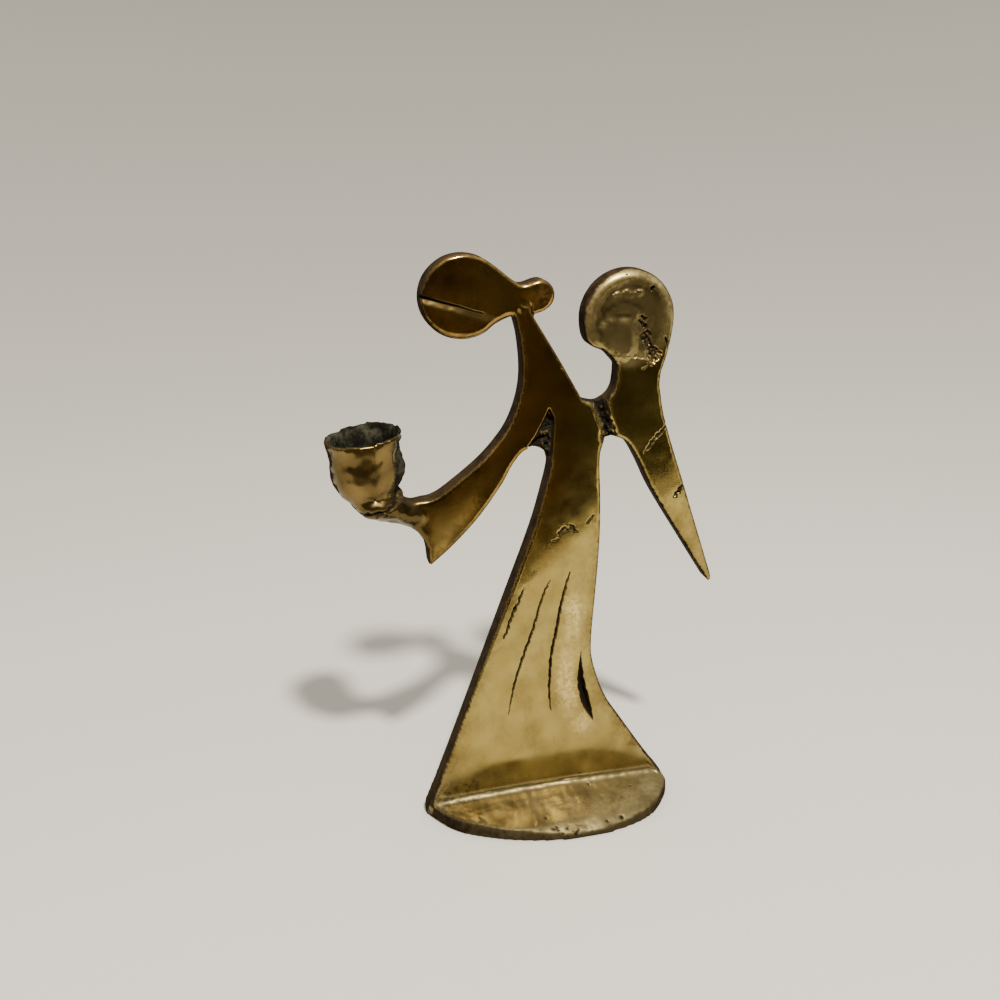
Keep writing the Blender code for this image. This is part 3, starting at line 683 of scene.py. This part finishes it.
def tighten_bend(flat, depth, crowned):
    """The robe's front stays flat low down, then bends sharply into the foot's top."""
    u, v, w = flat.T
    share = np.clip((BEND_TOP - v) / (BEND_TOP - BEND_END), 0.0, 1.0)
    wanted = -crowned - BEND_REACH * share ** BEND_SHARPNESS
    low = BEND_END - 0.1
    front = (w < 1.5) & (w > -BEND_REACH - 0.5) & (v < FRONT_FLAT_FROM) & (v > low) & (depth > 0.0)
    share = ramp(0, 1.2, depth) * ramp(low, BEND_END + 0.6, v) * front
    return np.column_stack([u, v, w + (wanted - w) * share])


def shape_foot(flat, front):
    """The crease dips at both ends, as the sheet was bent by hand."""
    v = flat[:, 1]
    live = ramp(1.2, 3.5, v) * ramp(15, 6, v) * front
    flat[:, 1] += (0.7 - (flat[:, 0] / FOOT_HALF) ** 2) * live
    return flat


def refine(mesh, outline):
    """Splits the faces at the front's edges, the bend, the hand and all that is carved."""
    middles = face_middles(mesh)
    depth = outline.query(middles[:, :2])[2]
    rim = (depth < 1.5) & (middles[:, 2] < 1.8) & (foot_share(middles) < 0.9)
    near = (middles[:, 2] < FRONT_REACH) & (carved_distance(middles[:, :2]) < 0.7)
    bend = (middles[:, 1] < FRONT_FLAT_FROM) & (middles[:, 1] > 1.0) & (middles[:, 2] < 1.0)
    subdivide_near(mesh, rim | near | bend | (hand_share(middles) > 0.5))
    middles = face_middles(mesh)
    near = (middles[:, 2] < FRONT_REACH) & (carved_distance(middles[:, :2]) < 0.12)
    subdivide_near(mesh, near)


def build_casting(node):
    """The whole casting as one object, with its shape and the marks for its material."""
    plate = Plate(node.data)
    outline = Outline(back_edge_chains(node.data, plate))
    mesh = remeshed(node.data, plate)
    flat = coordinates(mesh)
    free = np.maximum(hand_share(flat), foot_share(flat))
    flat = relax(flat, edges_of(mesh), 6, free)
    set_coordinates(mesh, flat)
    refine(mesh, outline)

    flat = coordinates(mesh)
    pairs = edges_of(mesh)
    free = np.maximum(hand_share(flat), foot_share(flat))
    flat = relax(flat, pairs, 4, free)
    settled, depth = settle(flat, outline, plate)
    flat = settled + (flat - settled) * free[:, None]
    crown = Crown(outline)
    on_front = ramp(FRONT_REACH, 1.2, flat[:, 2] - web_depth(flat))
    height, dirt, shade = front_height(flat, crown)
    plate_part = (1 - hand_share(flat)) * ramp(4, 7.5, flat[:, 1])
    rough, webbed = web_roughness(flat)
    flat[:, 2] -= height * on_front * plate_part
    flat[:, 2] -= rough * on_front * plate_part
    flat = tighten_bend(flat, depth, crown.at(flat[:, :2]))
    fillet = ramp(2.2, 4.5, flat[:, 1]) * ramp(20, 15, flat[:, 1])
    fillet *= (flat[:, 2] < 1.2) * ramp(0.6, 1.6, depth)
    flat = relax(flat, pairs, 6, fillet, 0.0)
    flat = shape_foot(flat, (flat[:, 2] < 1.5).astype(float))
    set_coordinates(mesh, flat)

    flat, marks = finish_hand_and_foot(flat, vertex_normals(mesh))
    marks["web"] = webbed * on_front
    marks["dirt"] = np.maximum(marks["dirt"], dirt * on_front * plate_part)
    marks["dirt"] = np.maximum(marks["dirt"], 0.75 * marks["web"])
    # Painted shade of the scroll's ring, stored for the material
    marks["shade"] = shade * on_front
    set_coordinates(mesh, flat)
    mark_surface(mesh, flat, vertex_normals(mesh), depth, marks)
    placed = plate.world(flat)
    placed[:, 2] = np.maximum(placed[:, 2], 0.0)
    set_coordinates(mesh, placed)
    mesh.name = "brass_angel"
    mesh.shade_smooth()
    return added("brass_angel", mesh)


def finish_hand(flat, normals):
    """Hammered cup and palm, the cup's ragged cast side, the crevice below it and the palm's nicks."""
    hand = hand_share(flat)
    u, v, w = flat.T
    uv = flat[:, :2]
    cup = hand * ramp(91, 94, v)
    push = 0.11 * waves(flat, 41, 7.5) * hand + 0.035 * waves(flat, 42, 2.6) * hand
    ragged = cup * ramp(-41.5, -38.5, u)
    rings = 0.45 * bump(v, 101.5, 1.8) - 0.45 * bump(v, 106.5, 2)
    push += ragged * (0.30 * waves(flat, 43, 4.2) + rings)
    inner = ((normals * np.column_stack([u - CUP_U, v * 0, w - CUP_W])).sum(1) < 0) & (hand > 0.5)
    push = np.where(inner & (v > CUP_FROM), 0.12 * waves(flat, 44, 3.0), push)
    wobble = np.column_stack([waves(flat, 45, 1.6), waves(flat, 46, 1.6)])
    distance = near_path(uv + 0.15 * wobble, CREVICE)[0]
    facing = ramp(0.1, 0.5, -normals[:, 2]) * hand
    push -= CREVICE_DEPTH * ramp(0.75, 0.1, distance) * facing
    dirt = ramp(0.6, 0.2, distance) * facing
    for pit_u, pit_v, radius, depth in PALM_NICKS:
        apart = apart_from(flat, (pit_u, pit_v))
        form = ramp(1, 0.2, apart / radius) * facing
        push -= depth * form
        push += 0.08 * bump(apart, 1.3 * radius, 0.25) * facing
        dirt = np.maximum(dirt, form)
    return push, dirt, inner * hand * (v > CUP_FROM)


def finish_foot(flat):
    """The foot's uneven top, its finely pitted patch and its larger pits."""
    u, v, w = flat.T
    foot = ramp(0.8, 2, v) * ramp(13, 8, v) * (w < -0.5)
    push = foot * (0.05 * waves(flat, 51, 9.0) + 0.02 * waves(flat, 52, 2.4))
    patch = bump(u, -2, 8) * bump(w, -17.5, 2.4) * foot
    speck = waves(flat, 53, 1.7) * waves(flat, 54, 1.1)
    push -= patch * np.clip(0.08 * speck - 0.02, 0.0, 0.12)
    dirt = patch * ramp(0.25, 0.7, speck)
    for pit_u, pit_w, radius in FOOT_PITS:
        form = ramp(1, 0.3, np.hypot(u - pit_u, w - pit_w) / radius) * foot
        push -= FOOT_PIT_DEPTH * form
        dirt = np.maximum(dirt, form)
    return push, dirt


def finish_hand_and_foot(flat, normals):
    """Moves the hand's and the foot's surface in and out, and marks their dirt and the cup's room."""
    hand_push, hand_dirt, inner = finish_hand(flat, normals)
    foot_push, foot_dirt = finish_foot(flat)
    moved = flat + normals * (hand_push + foot_push)[:, None]
    moved[:, 1] = np.where(moved[:, 1] < 0.6, flat[:, 1], moved[:, 1])
    return moved, {"dirt": np.maximum(hand_dirt, foot_dirt), "inner": inner}


def set_mark(mesh, name, values):
    """Stores a share for each corner, which the material reads by its name."""
    mark = mesh.attributes.new(name, "FLOAT", "POINT")
    mark.data.foreach_set("value", np.ascontiguousarray(np.clip(values, 0, 1), np.float32))


class Surface:
    """Each point's place and direction, and where the casting is polished, satin, grimy or worn, and
    where highlights, shade and reflections are painted.
    """

    def __init__(self, flat, normals, marks):
        self.flat, self.normals, self.marks = flat, normals, marks
        self.noise = 0.5 * waves(flat, 61, 2.2) + 0.5 * waves(flat, 62, 0.9)
        self.hand = hand_share(flat)
        self.foot = ramp(13, 9, flat[:, 1])
        self.foot_front = self.foot * (flat[:, 2] < -3.0)
        self.foot_top = self.foot * ramp(0.4, 0.7, normals[:, 1])
        self.foot_wall = self.foot_front * ramp(0.97, 0.6, normals[:, 1])
        self.from_scroll = apart_from(flat, SCROLL)

    def cast_cup_side_and_dark_reflection(self):
        """The cup's right side: left as cast, and coloured soot-black as a painted dark reflection."""
        u, v, _ = self.flat.T
        cup = self.hand * ramp(93, 97, v)
        return cup * ramp(-41.4, -40.3, u - 0.08 * (v - CUP_FROM) + 0.3 * self.noise)

    def polish(self):
        """All that faces forward, less the sides, the cup's right side, the webs and the dirt."""
        _, v, w = self.flat.T
        across, up, back = self.normals.T
        facing = np.maximum(-back, self.foot * (w < 0.5) * np.hypot(up, back))
        sideways = np.abs(across) / np.maximum(np.hypot(across, up), 0.3)
        low = 0.34 + 0.40 * sideways * (1 - self.hand) - 0.14 * self.hand
        polish = ramp(low, low + 0.2, facing + 0.08 * self.noise)
        polish *= 1 - ramp(1.2, 2.4, w) * (1 - self.hand)
        polish *= 1 - self.foot * ramp(0.7, 0.25, v) * ramp(0.9, 0.6, up)
        polish *= 1 - 0.45 * self.foot_front * ramp(0.9, 0.4, up)
        polish *= 1 - self.cast_cup_side_and_dark_reflection()
        polish *= (1 - 0.9 * self.marks["inner"]) * (1 - self.marks["web"]) * (1 - self.marks["dirt"])
        return polish

    def tarnish_and_reflection(self):
        """Orange tarnish on the upper left, partly a painted warm reflection: arm, sleeve, hand and head.
        """
        u, v, _ = self.flat.T
        right = ramp(-1, 6, u - 0.12 * (v - 100) + 1.5 * self.noise)
        return ramp(60, 95, v) * (1 - right)

    def satin(self):
        """Dull brass: the scroll, the foot, the hand, the crease, the hem and below the head's line."""
        _, v, w = self.flat.T
        crease = bump(v, 5.2, 1.8) * (w < 0.5)
        hem = 0.45 * ramp(17, 9, v) * (w < 1)
        apart, _, side = near_path(self.flat[:, :2], HEAD_LINE)
        below_line = 0.35 * ramp(2.2, 1.2, apart) * (side < 0)
        broad = 0.65 * near_disc(self.flat, SCROLL) + 0.85 * self.foot_top + 0.35 * self.hand
        return np.maximum(broad, np.maximum(crease, hem) + below_line) + 0.6 * self.foot_wall

    def grime_and_shade(self, depth):
        """Brown patina, thick on the arm, the head, the foot, the scroll and along the edges; the robe
        darker towards its bottom and the foot to its left; painted shade in the scroll's sunken ring and
        a painted dark reflection in a band above the crease.
        """
        u, v, _ = self.flat.T
        noise = self.noise
        grime_and_shade = (0.55 * ramp(-13, -34, u + 2 * noise) + 0.25 * self.hand) * (v > 60)
        grime_and_shade = np.maximum(grime_and_shade, 0.48 * self.foot_top + 0.25 * self.foot * (1 + noise) * (u < -20.0))
        grime_and_shade += 0.38 * ramp(3.6, 0.2, depth + 0.7 * noise) * (1 - self.hand) * (v > 14)
        # Painted dark reflection: a band above the crease, stronger on the left; the robe also darker
        # towards its bottom
        band = ramp(15, 10, v + 0.4 * noise + 0.05 * u) * ramp(4.6, 5.6, v)
        band *= 1.6 - 1.2 * ramp(-25, 25, u)
        grime_and_shade += (0.28 * ramp(30, 10, v) + 0.10 * band) * (1 - self.foot_top)
        grime_and_shade += 0.56 * ramp(9.4, 8.2, self.from_scroll + 0.4 * noise)
        grime_and_shade += 0.10 * waves(self.flat, 63, 9.0)
        # Painted shade in the scroll's sunken ring
        grime_and_shade += 1.1 * self.marks["shade"] * (1 + 0.4 * noise)
        grime_and_shade += 0.30 * self.foot_top * ramp(5, -20, u)
        grime_and_shade += 0.9 * self.foot_wall
        grime_and_shade += 0.35 * bump(u, 3.2, 3) * bump(v, 80, 2.2) * (1 + 0.5 * noise)
        grime_and_shade += 0.25 * self.hand * ramp(94, 92, v)
        return grime_and_shade

    def highlight_and_wear(self):
        """Painted highlights, partly real wear: pale streaks on the leg, the crease's bright line, the
        bun, the upward-facing upper edges and the scroll's rim.
        """
        u, v, w = self.flat.T
        leg, run, _ = near_path(self.flat[:, :2], rounded(LEG))
        highlight_and_wear = ramp(3.4, 0.8, leg + 0.9 * self.noise)
        highlight_and_wear *= ramp(0.02, 0.2, run) * ramp(0, 0.2, 1 - run)
        glints = bump(run, 0.24, 0.10) + bump(run, 0.60, 0.13) + bump(run, 0.88, 0.06)
        highlight_and_wear *= 0.25 + 0.75 * np.clip(glints, 0, 1)
        # Painted highlights: the crease's bright line, the bun's top, edges that face upward and the
        # scroll's rim
        crease = ramp(0.9, 0.25, np.abs(v - 4.6 + (u / FOOT_HALF) ** 2))
        bun = bump(apart_from(self.flat, (BUN[0] + 0.8, BUN[1])), 0, 2.6)
        upper = ramp(0.15, 0.5, self.normals[:, 1]) * (v > 100) * (w < 1)
        rim = bump(self.from_scroll, 10.3, 0.9) * ramp(-4, 4, v - SCROLL[1])
        for highlight_part in (0.6 * crease * (w < 0.0), 0.45 * bun, 0.7 * upper, 0.9 * rim):
            highlight_and_wear = np.maximum(highlight_and_wear, highlight_part)
        return highlight_and_wear * (self.hand < 0.5)


def mark_surface(mesh, flat, normals, depth, marks):
    """Stores where the casting is polished, sooty, dirty, tarnished, satin, grimy and worn, and the
    painted highlights, shade and reflections that these marks also carry.
    """
    surface = Surface(flat, normals, marks)
    # Soot in the cup and dark webs, and a painted dark reflection on the cup's right side
    soot_and_dark_reflection = np.maximum(np.maximum(marks["inner"], surface.cast_cup_side_and_dark_reflection()), marks["web"])
    for name, values in (("polish", surface.polish()), ("soot_and_dark_reflection", soot_and_dark_reflection), ("dirt", marks["dirt"]),
                         ("tarnish_and_reflection", surface.tarnish_and_reflection()), ("satin", surface.satin()),
                         ("grime_and_shade", surface.grime_and_shade(depth)), ("highlight_and_wear", surface.highlight_and_wear())):
        set_mark(mesh, name, values)


class Nodes:
    """Short ways to add and link shader nodes."""

    def __init__(self, material):
        self.tree = material.node_tree
        self.nodes, self.links = self.tree.nodes, self.tree.links

    def new(self, kind):
        """A new shader node."""
        return self.nodes.new("ShaderNode" + kind)

    def link(self, value, socket):
        """Puts a number, a colour or another node's output into a socket."""
        if isinstance(value, (int, float)):
            socket.default_value = value
        elif isinstance(value, tuple):
            socket.default_value = (*value, 1.0)
        else:
            self.links.new(value, socket)

    def mark(self, name):
        """A share stored in the mesh."""
        node = self.new("Attribute")
        node.attribute_name = name
        return node.outputs["Fac"]

    def noise(self, scale, detail=4.0, rough=0.6, stretch=None, turn=0.0):
        """Noise in the object's own place, stretched and turned where asked."""
        place = self.new("TexCoord").outputs["Object"]
        if stretch:
            mapping = self.new("Mapping")
            mapping.inputs["Scale"].default_value = stretch
            mapping.inputs["Rotation"].default_value = (0.0, turn, 0.0)
            self.links.new(place, mapping.inputs["Vector"])
            place = mapping.outputs["Vector"]
        node = self.new("TexNoise")
        node.inputs["Scale"].default_value = scale
        node.inputs["Detail"].default_value = detail
        node.inputs["Roughness"].default_value = rough
        self.links.new(place, node.inputs["Vector"])
        return node.outputs["Fac"]

    def ramp(self, value, low, high, start=0.0, end=1.0):
        """A smooth ramp from start at low to end at high."""
        node = self.new("MapRange")
        node.interpolation_type = "SMOOTHSTEP"
        self.link(value, node.inputs["Value"])
        for name, number in (("From Min", low), ("From Max", high), ("To Min", start), ("To Max", end)):
            node.inputs[name].default_value = number
        return node.outputs["Result"]

    def mix(self, share, first, second):
        """The first colour at share 0, the second at 1."""
        node = self.new("Mix")
        node.data_type = "RGBA"
        self.link(share, node.inputs["Factor"])
        self.link(first, node.inputs["A"])
        self.link(second, node.inputs["B"])
        return next(output for output in node.outputs if output.type == "RGBA")

    def math(self, kind, first, second):
        """One sum of two values."""
        node = self.new("Math")
        node.operation = kind
        self.link(first, node.inputs[0])
        self.link(second, node.inputs[1])
        return node.outputs["Value"]


def brass_material():
    """Old brass: marks and noise mix its colours, its shine and its fine relief."""
    material = bpy.data.materials.new("aged_brass")
    material.use_nodes = True
    n = Nodes(material)
    shader = n.nodes["Principled BSDF"]
    names = ("polish", "soot_and_dark_reflection", "dirt", "tarnish_and_reflection", "satin", "grime_and_shade", "highlight_and_wear")
    polish, soot_and_dark_reflection, dirt, tarnish_and_reflection, satin, grime_and_shade, highlight_and_wear = (n.mark(name) for name in names)

    cloud = n.noise(90, 5, 0.6)
    speckle = n.noise(1100, 3, 0.7)
    mottle = n.noise(800, 4, 0.65)
    bright = n.mix(n.ramp(cloud, 0.35, 0.7), BRASS, BRASS_DEEP)
    # Painted highlight, partly real wear: mixed towards pale cream brass
    mottled_highlight_and_wear = n.math("MULTIPLY", highlight_and_wear, n.ramp(mottle, 0.35, 0.62, 0.15, 1))
    bright = n.mix(mottled_highlight_and_wear, bright, BRASS_HIGHLIGHT_AND_WEAR)
    # Orange tarnish on the upper left, partly a painted warm reflection
    tarnish_and_reflection_share = n.math("MULTIPLY", tarnish_and_reflection, n.ramp(n.noise(60, 4), 0.25, 0.6, 0.15, 0.8))
    bright = n.mix(tarnish_and_reflection_share, bright, BRASS_TARNISH_AND_REFLECTION)
    bright = n.mix(n.math("MULTIPLY", satin, 0.75), bright, BRASS_SATIN)
    # Patina, with painted shade in the scroll's ring and a painted dark band above the crease
    grime_and_shade_share = n.math("MULTIPLY", grime_and_shade, n.ramp(n.noise(200, 5, 0.65), 0.25, 0.65, 0.82, 1.15))
    bright = n.mix(grime_and_shade_share, bright, n.mix(satin, PATINA_AND_SHADE, PATINA_AND_SHADE_SATIN))
    clouded = n.ramp(n.noise(170, 6, 0.72, (1, 1, 0.6), 0.2), 0.45, 0.72, 0, 0.40)
    bright = n.mix(clouded, bright, CLOUD)
    bright = n.mix(n.ramp(speckle, 0.64, 0.8, 0, 0.4), bright, SPECK)
    cast = n.mix(n.ramp(n.noise(260, 5, 0.7), 0.35, 0.65), CAST, CAST_DARK)
    cast = n.mix(n.ramp(n.noise(500, 3), 0.62, 0.78, 0, 0.4), cast, CAST_GLINT)
    # Soot black inside the cup, also a painted dark reflection on the cup's right side
    soot_and_reflection_colour = n.mix(n.ramp(n.noise(300, 5, 0.7), 0.42, 0.7), SOOT_AND_REFLECTION_BLACK, SOOT_AND_REFLECTION_GREY)
    colour = n.mix(polish, cast, bright)
    colour = n.mix(soot_and_dark_reflection, colour, soot_and_reflection_colour)
    colour = n.mix(n.math("MULTIPLY", dirt, 0.92), colour, DIRT)
    n.link(colour, shader.inputs["Base Color"])

    rough = n.ramp(n.noise(150, 4, 0.6), 0.3, 0.7, 0.08, 0.16)
    bare = n.math("SUBTRACT", 1.0, polish)
    for share, amount in ((satin, 0.24), (grime_and_shade, 0.08), (highlight_and_wear, 0.06), (bare, 0.62), (soot_and_dark_reflection, 0.3)):
        rough = n.math("ADD", rough, n.math("MULTIPLY", share, amount))
    n.link(n.math("MINIMUM", rough, 0.9), shader.inputs["Roughness"])
    metal = n.ramp(n.math("MAXIMUM", soot_and_dark_reflection, dirt), 0.2, 0.9, 1, 0.1)
    metal = n.math("MULTIPLY", metal, n.ramp(polish, 0, 0.8, 0, 1))
    haze = n.math("ADD", n.math("MULTIPLY", satin, 0.16), n.math("MULTIPLY", mottled_highlight_and_wear, 0.45))
    n.link(n.math("MULTIPLY", metal, n.math("SUBTRACT", 1.0, haze)), shader.inputs["Metallic"])
    shader.inputs["Specular IOR Level"].default_value = 0.2
    shader.inputs["IOR"].default_value = 1.25

    upright = n.noise(500, 2, 0.5, (1, 1, 12), 0.5)
    level = n.noise(300, 2, 0.5, (10, 1, 1), 0.2)
    scratches = n.math("ADD", upright, level)
    grain = n.noise(1300, 4, 0.75)
    castings = n.noise(700, 4, 0.7)
    fine = n.new("Bump")
    fine.inputs["Distance"].default_value = 0.000006
    fine.inputs["Strength"].default_value = 0.6
    n.link(n.math("ADD", scratches, n.math("MULTIPLY", grain, 0.5)), fine.inputs["Height"])
    coarse = n.new("Bump")
    coarse.inputs["Distance"].default_value = 0.00022
    n.link(n.ramp(polish, 0, 0.8, 0.7, 0), coarse.inputs["Strength"])
    n.link(castings, coarse.inputs["Height"])
    n.link(fine.outputs["Normal"], coarse.inputs["Normal"])
    n.link(coarse.outputs["Normal"], shader.inputs["Normal"])
    return material


def plain_material(name, colour, roughness=0.9):
    """An even matt colour."""
    material = bpy.data.materials.new(name)
    material.use_nodes = True
    shader = material.node_tree.nodes["Principled BSDF"]
    shader.inputs["Base Color"].default_value = (*colour, 1.0)
    shader.inputs["Roughness"].default_value = roughness
    shader.inputs["Specular IOR Level"].default_value = 0.0
    return material


def staged(name, corners, faces, material, smooth=False):
    """Adds a piece of the stage, which isn't part of the object."""
    mesh = bpy.data.meshes.new(name)
    mesh.from_pydata(corners, [], faces)
    mesh.materials.append(material)
    if smooth:
        mesh.shade_smooth()
    item = added(name, mesh)
    return item


def add_floor():
    """A pale floor that curves up far away, and what of it the polished brass mirrors."""
    pale = plain_material("pale_floor", (0.80, 0.776, 0.705))
    flat_to, wide, high = 0.4, 2.6, 3.0
    profile = [(0.0, 0.0), (flat_to, 0.0)]
    for step in range(1, 25):
        share = step / 24
        profile.append((flat_to + wide * share, high * share ** 2.4))
    sides = 64
    corners = []
    for radius, height in profile:
        for k in range(sides):
            angle = 2 * math.pi * k / sides
            corners.append((radius * math.cos(angle), radius * math.sin(angle), height))
    faces = []
    for ring in range(len(profile) - 1):
        low, high = ring * sides, (ring + 1) * sides
        for k in range(sides):
            after = (k + 1) % sides
            faces.append((low + k, low + after, high + after, high + k))
    floor = staged("floor", corners, faces, pale, True)
    for kind in ("glossy", "diffuse", "shadow"):
        setattr(floor, "visible_" + kind, False)

    turn = math.radians(-36.0)
    way = np.array((math.cos(turn), math.sin(turn)))
    edge = np.array((0.050, -0.150))
    lift = 0.00002
    rim = [(-1.2, -0.05), (-0.030, -0.131), (0.001, -0.160), (0.014, -0.182), (0.031, -0.213),
           (0.014, -0.132), (0.008, -0.107), tuple(edge), tuple(edge + way), (1.5, 1.5), (-1.5, 1.5)]
    table = staged("reflected_table", [(x, y, lift) for x, y in rim], [tuple(range(len(rim)))], pale)
    for kind in ("camera", "diffuse", "shadow"):
        setattr(table, "visible_" + kind, False)


def add_surroundings():
    """A pale room behind and above, and a dim brown one in front of the table's edge."""
    world = bpy.data.worlds.new("studio")
    world.use_nodes = True
    tree = world.node_tree
    n = Nodes(world)
    background = n.nodes["Background"]
    place = n.new("TexCoord").outputs["Generated"]
    split = n.new("SeparateXYZ")
    tree.links.new(place, split.inputs[0])
    x, y, z = (split.outputs[name] for name in "XYZ")
    behind = n.ramp(y, -0.25, 0.35)
    side = n.math("DIVIDE", x, n.math("MAXIMUM", n.math("MULTIPLY", y, -1.0), 0.05))
    right_side = n.ramp(side, 0.14, 0.34)
    left_side = n.ramp(side, -0.25, 0.1)
    low = n.mix(left_side, (0.17, 0.145, 0.085), (0.255, 0.170, 0.072))
    low = n.mix(right_side, low, (0.085, 0.072, 0.036))
    level = n.mix(n.ramp(z, -0.24, -0.10), low, (0.125, 0.100, 0.056))
    upper = n.mix(n.ramp(z, 0, 0.35), level, (0.24, 0.21, 0.16))
    front = n.mix(n.ramp(z, 0.40, 0.85), upper, (0.95, 0.90, 0.80))
    back = n.mix(n.ramp(z, 0, 0.9), (0.36, 0.34, 0.31), (0.90, 0.87, 0.80))
    n.link(n.mix(behind, front, back), background.inputs["Color"])
    background.inputs["Strength"].default_value = 0.85
    bpy.context.scene.world = world


def add_lamp():
    """A small soft lamp, high in front of the figure and a little to the right."""
    data = bpy.data.lights.new("lamp", "AREA")
    data.shape = "DISK"
    data.size = 0.075
    data.energy = 16.5
    data.color = (1.0, 0.95, 0.87)
    lamp = added("lamp", data)
    across, out, up = 0.2, -0.67, 1.0
    away = Vector((across * math.cos(CAMERA_TURN) - out * math.sin(CAMERA_TURN),
                   across * math.sin(CAMERA_TURN) + out * math.cos(CAMERA_TURN), up)).normalized()
    lamp.location = Vector((0.0, 0.0, 0.07)) + away
    lamp.rotation_euler = away.to_track_quat("Z", "Y").to_euler()


def add_camera():
    """The photograph's own view."""
    data = bpy.data.cameras.new("camera")
    data.lens = CAMERA_LENS
    data.sensor_width = SENSOR_WIDTH
    camera = added("camera", data)
    camera.location = CAMERA_PLACE
    camera.rotation_euler = (CAMERA_PITCH, 0.0, CAMERA_TURN)
    bpy.context.scene.camera = camera


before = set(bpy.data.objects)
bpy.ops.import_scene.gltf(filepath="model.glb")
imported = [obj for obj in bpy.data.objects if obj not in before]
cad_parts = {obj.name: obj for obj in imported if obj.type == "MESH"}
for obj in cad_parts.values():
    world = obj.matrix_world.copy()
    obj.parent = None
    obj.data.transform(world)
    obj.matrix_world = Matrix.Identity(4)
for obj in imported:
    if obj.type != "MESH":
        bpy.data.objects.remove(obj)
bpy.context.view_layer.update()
add_camera()
add_floor()
add_surroundings()
add_lamp()
casting = build_casting(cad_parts["angel_casting"])
casting.data.materials.clear()
casting.data.materials.append(brass_material())
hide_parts("angel_casting")
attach(casting, "root")
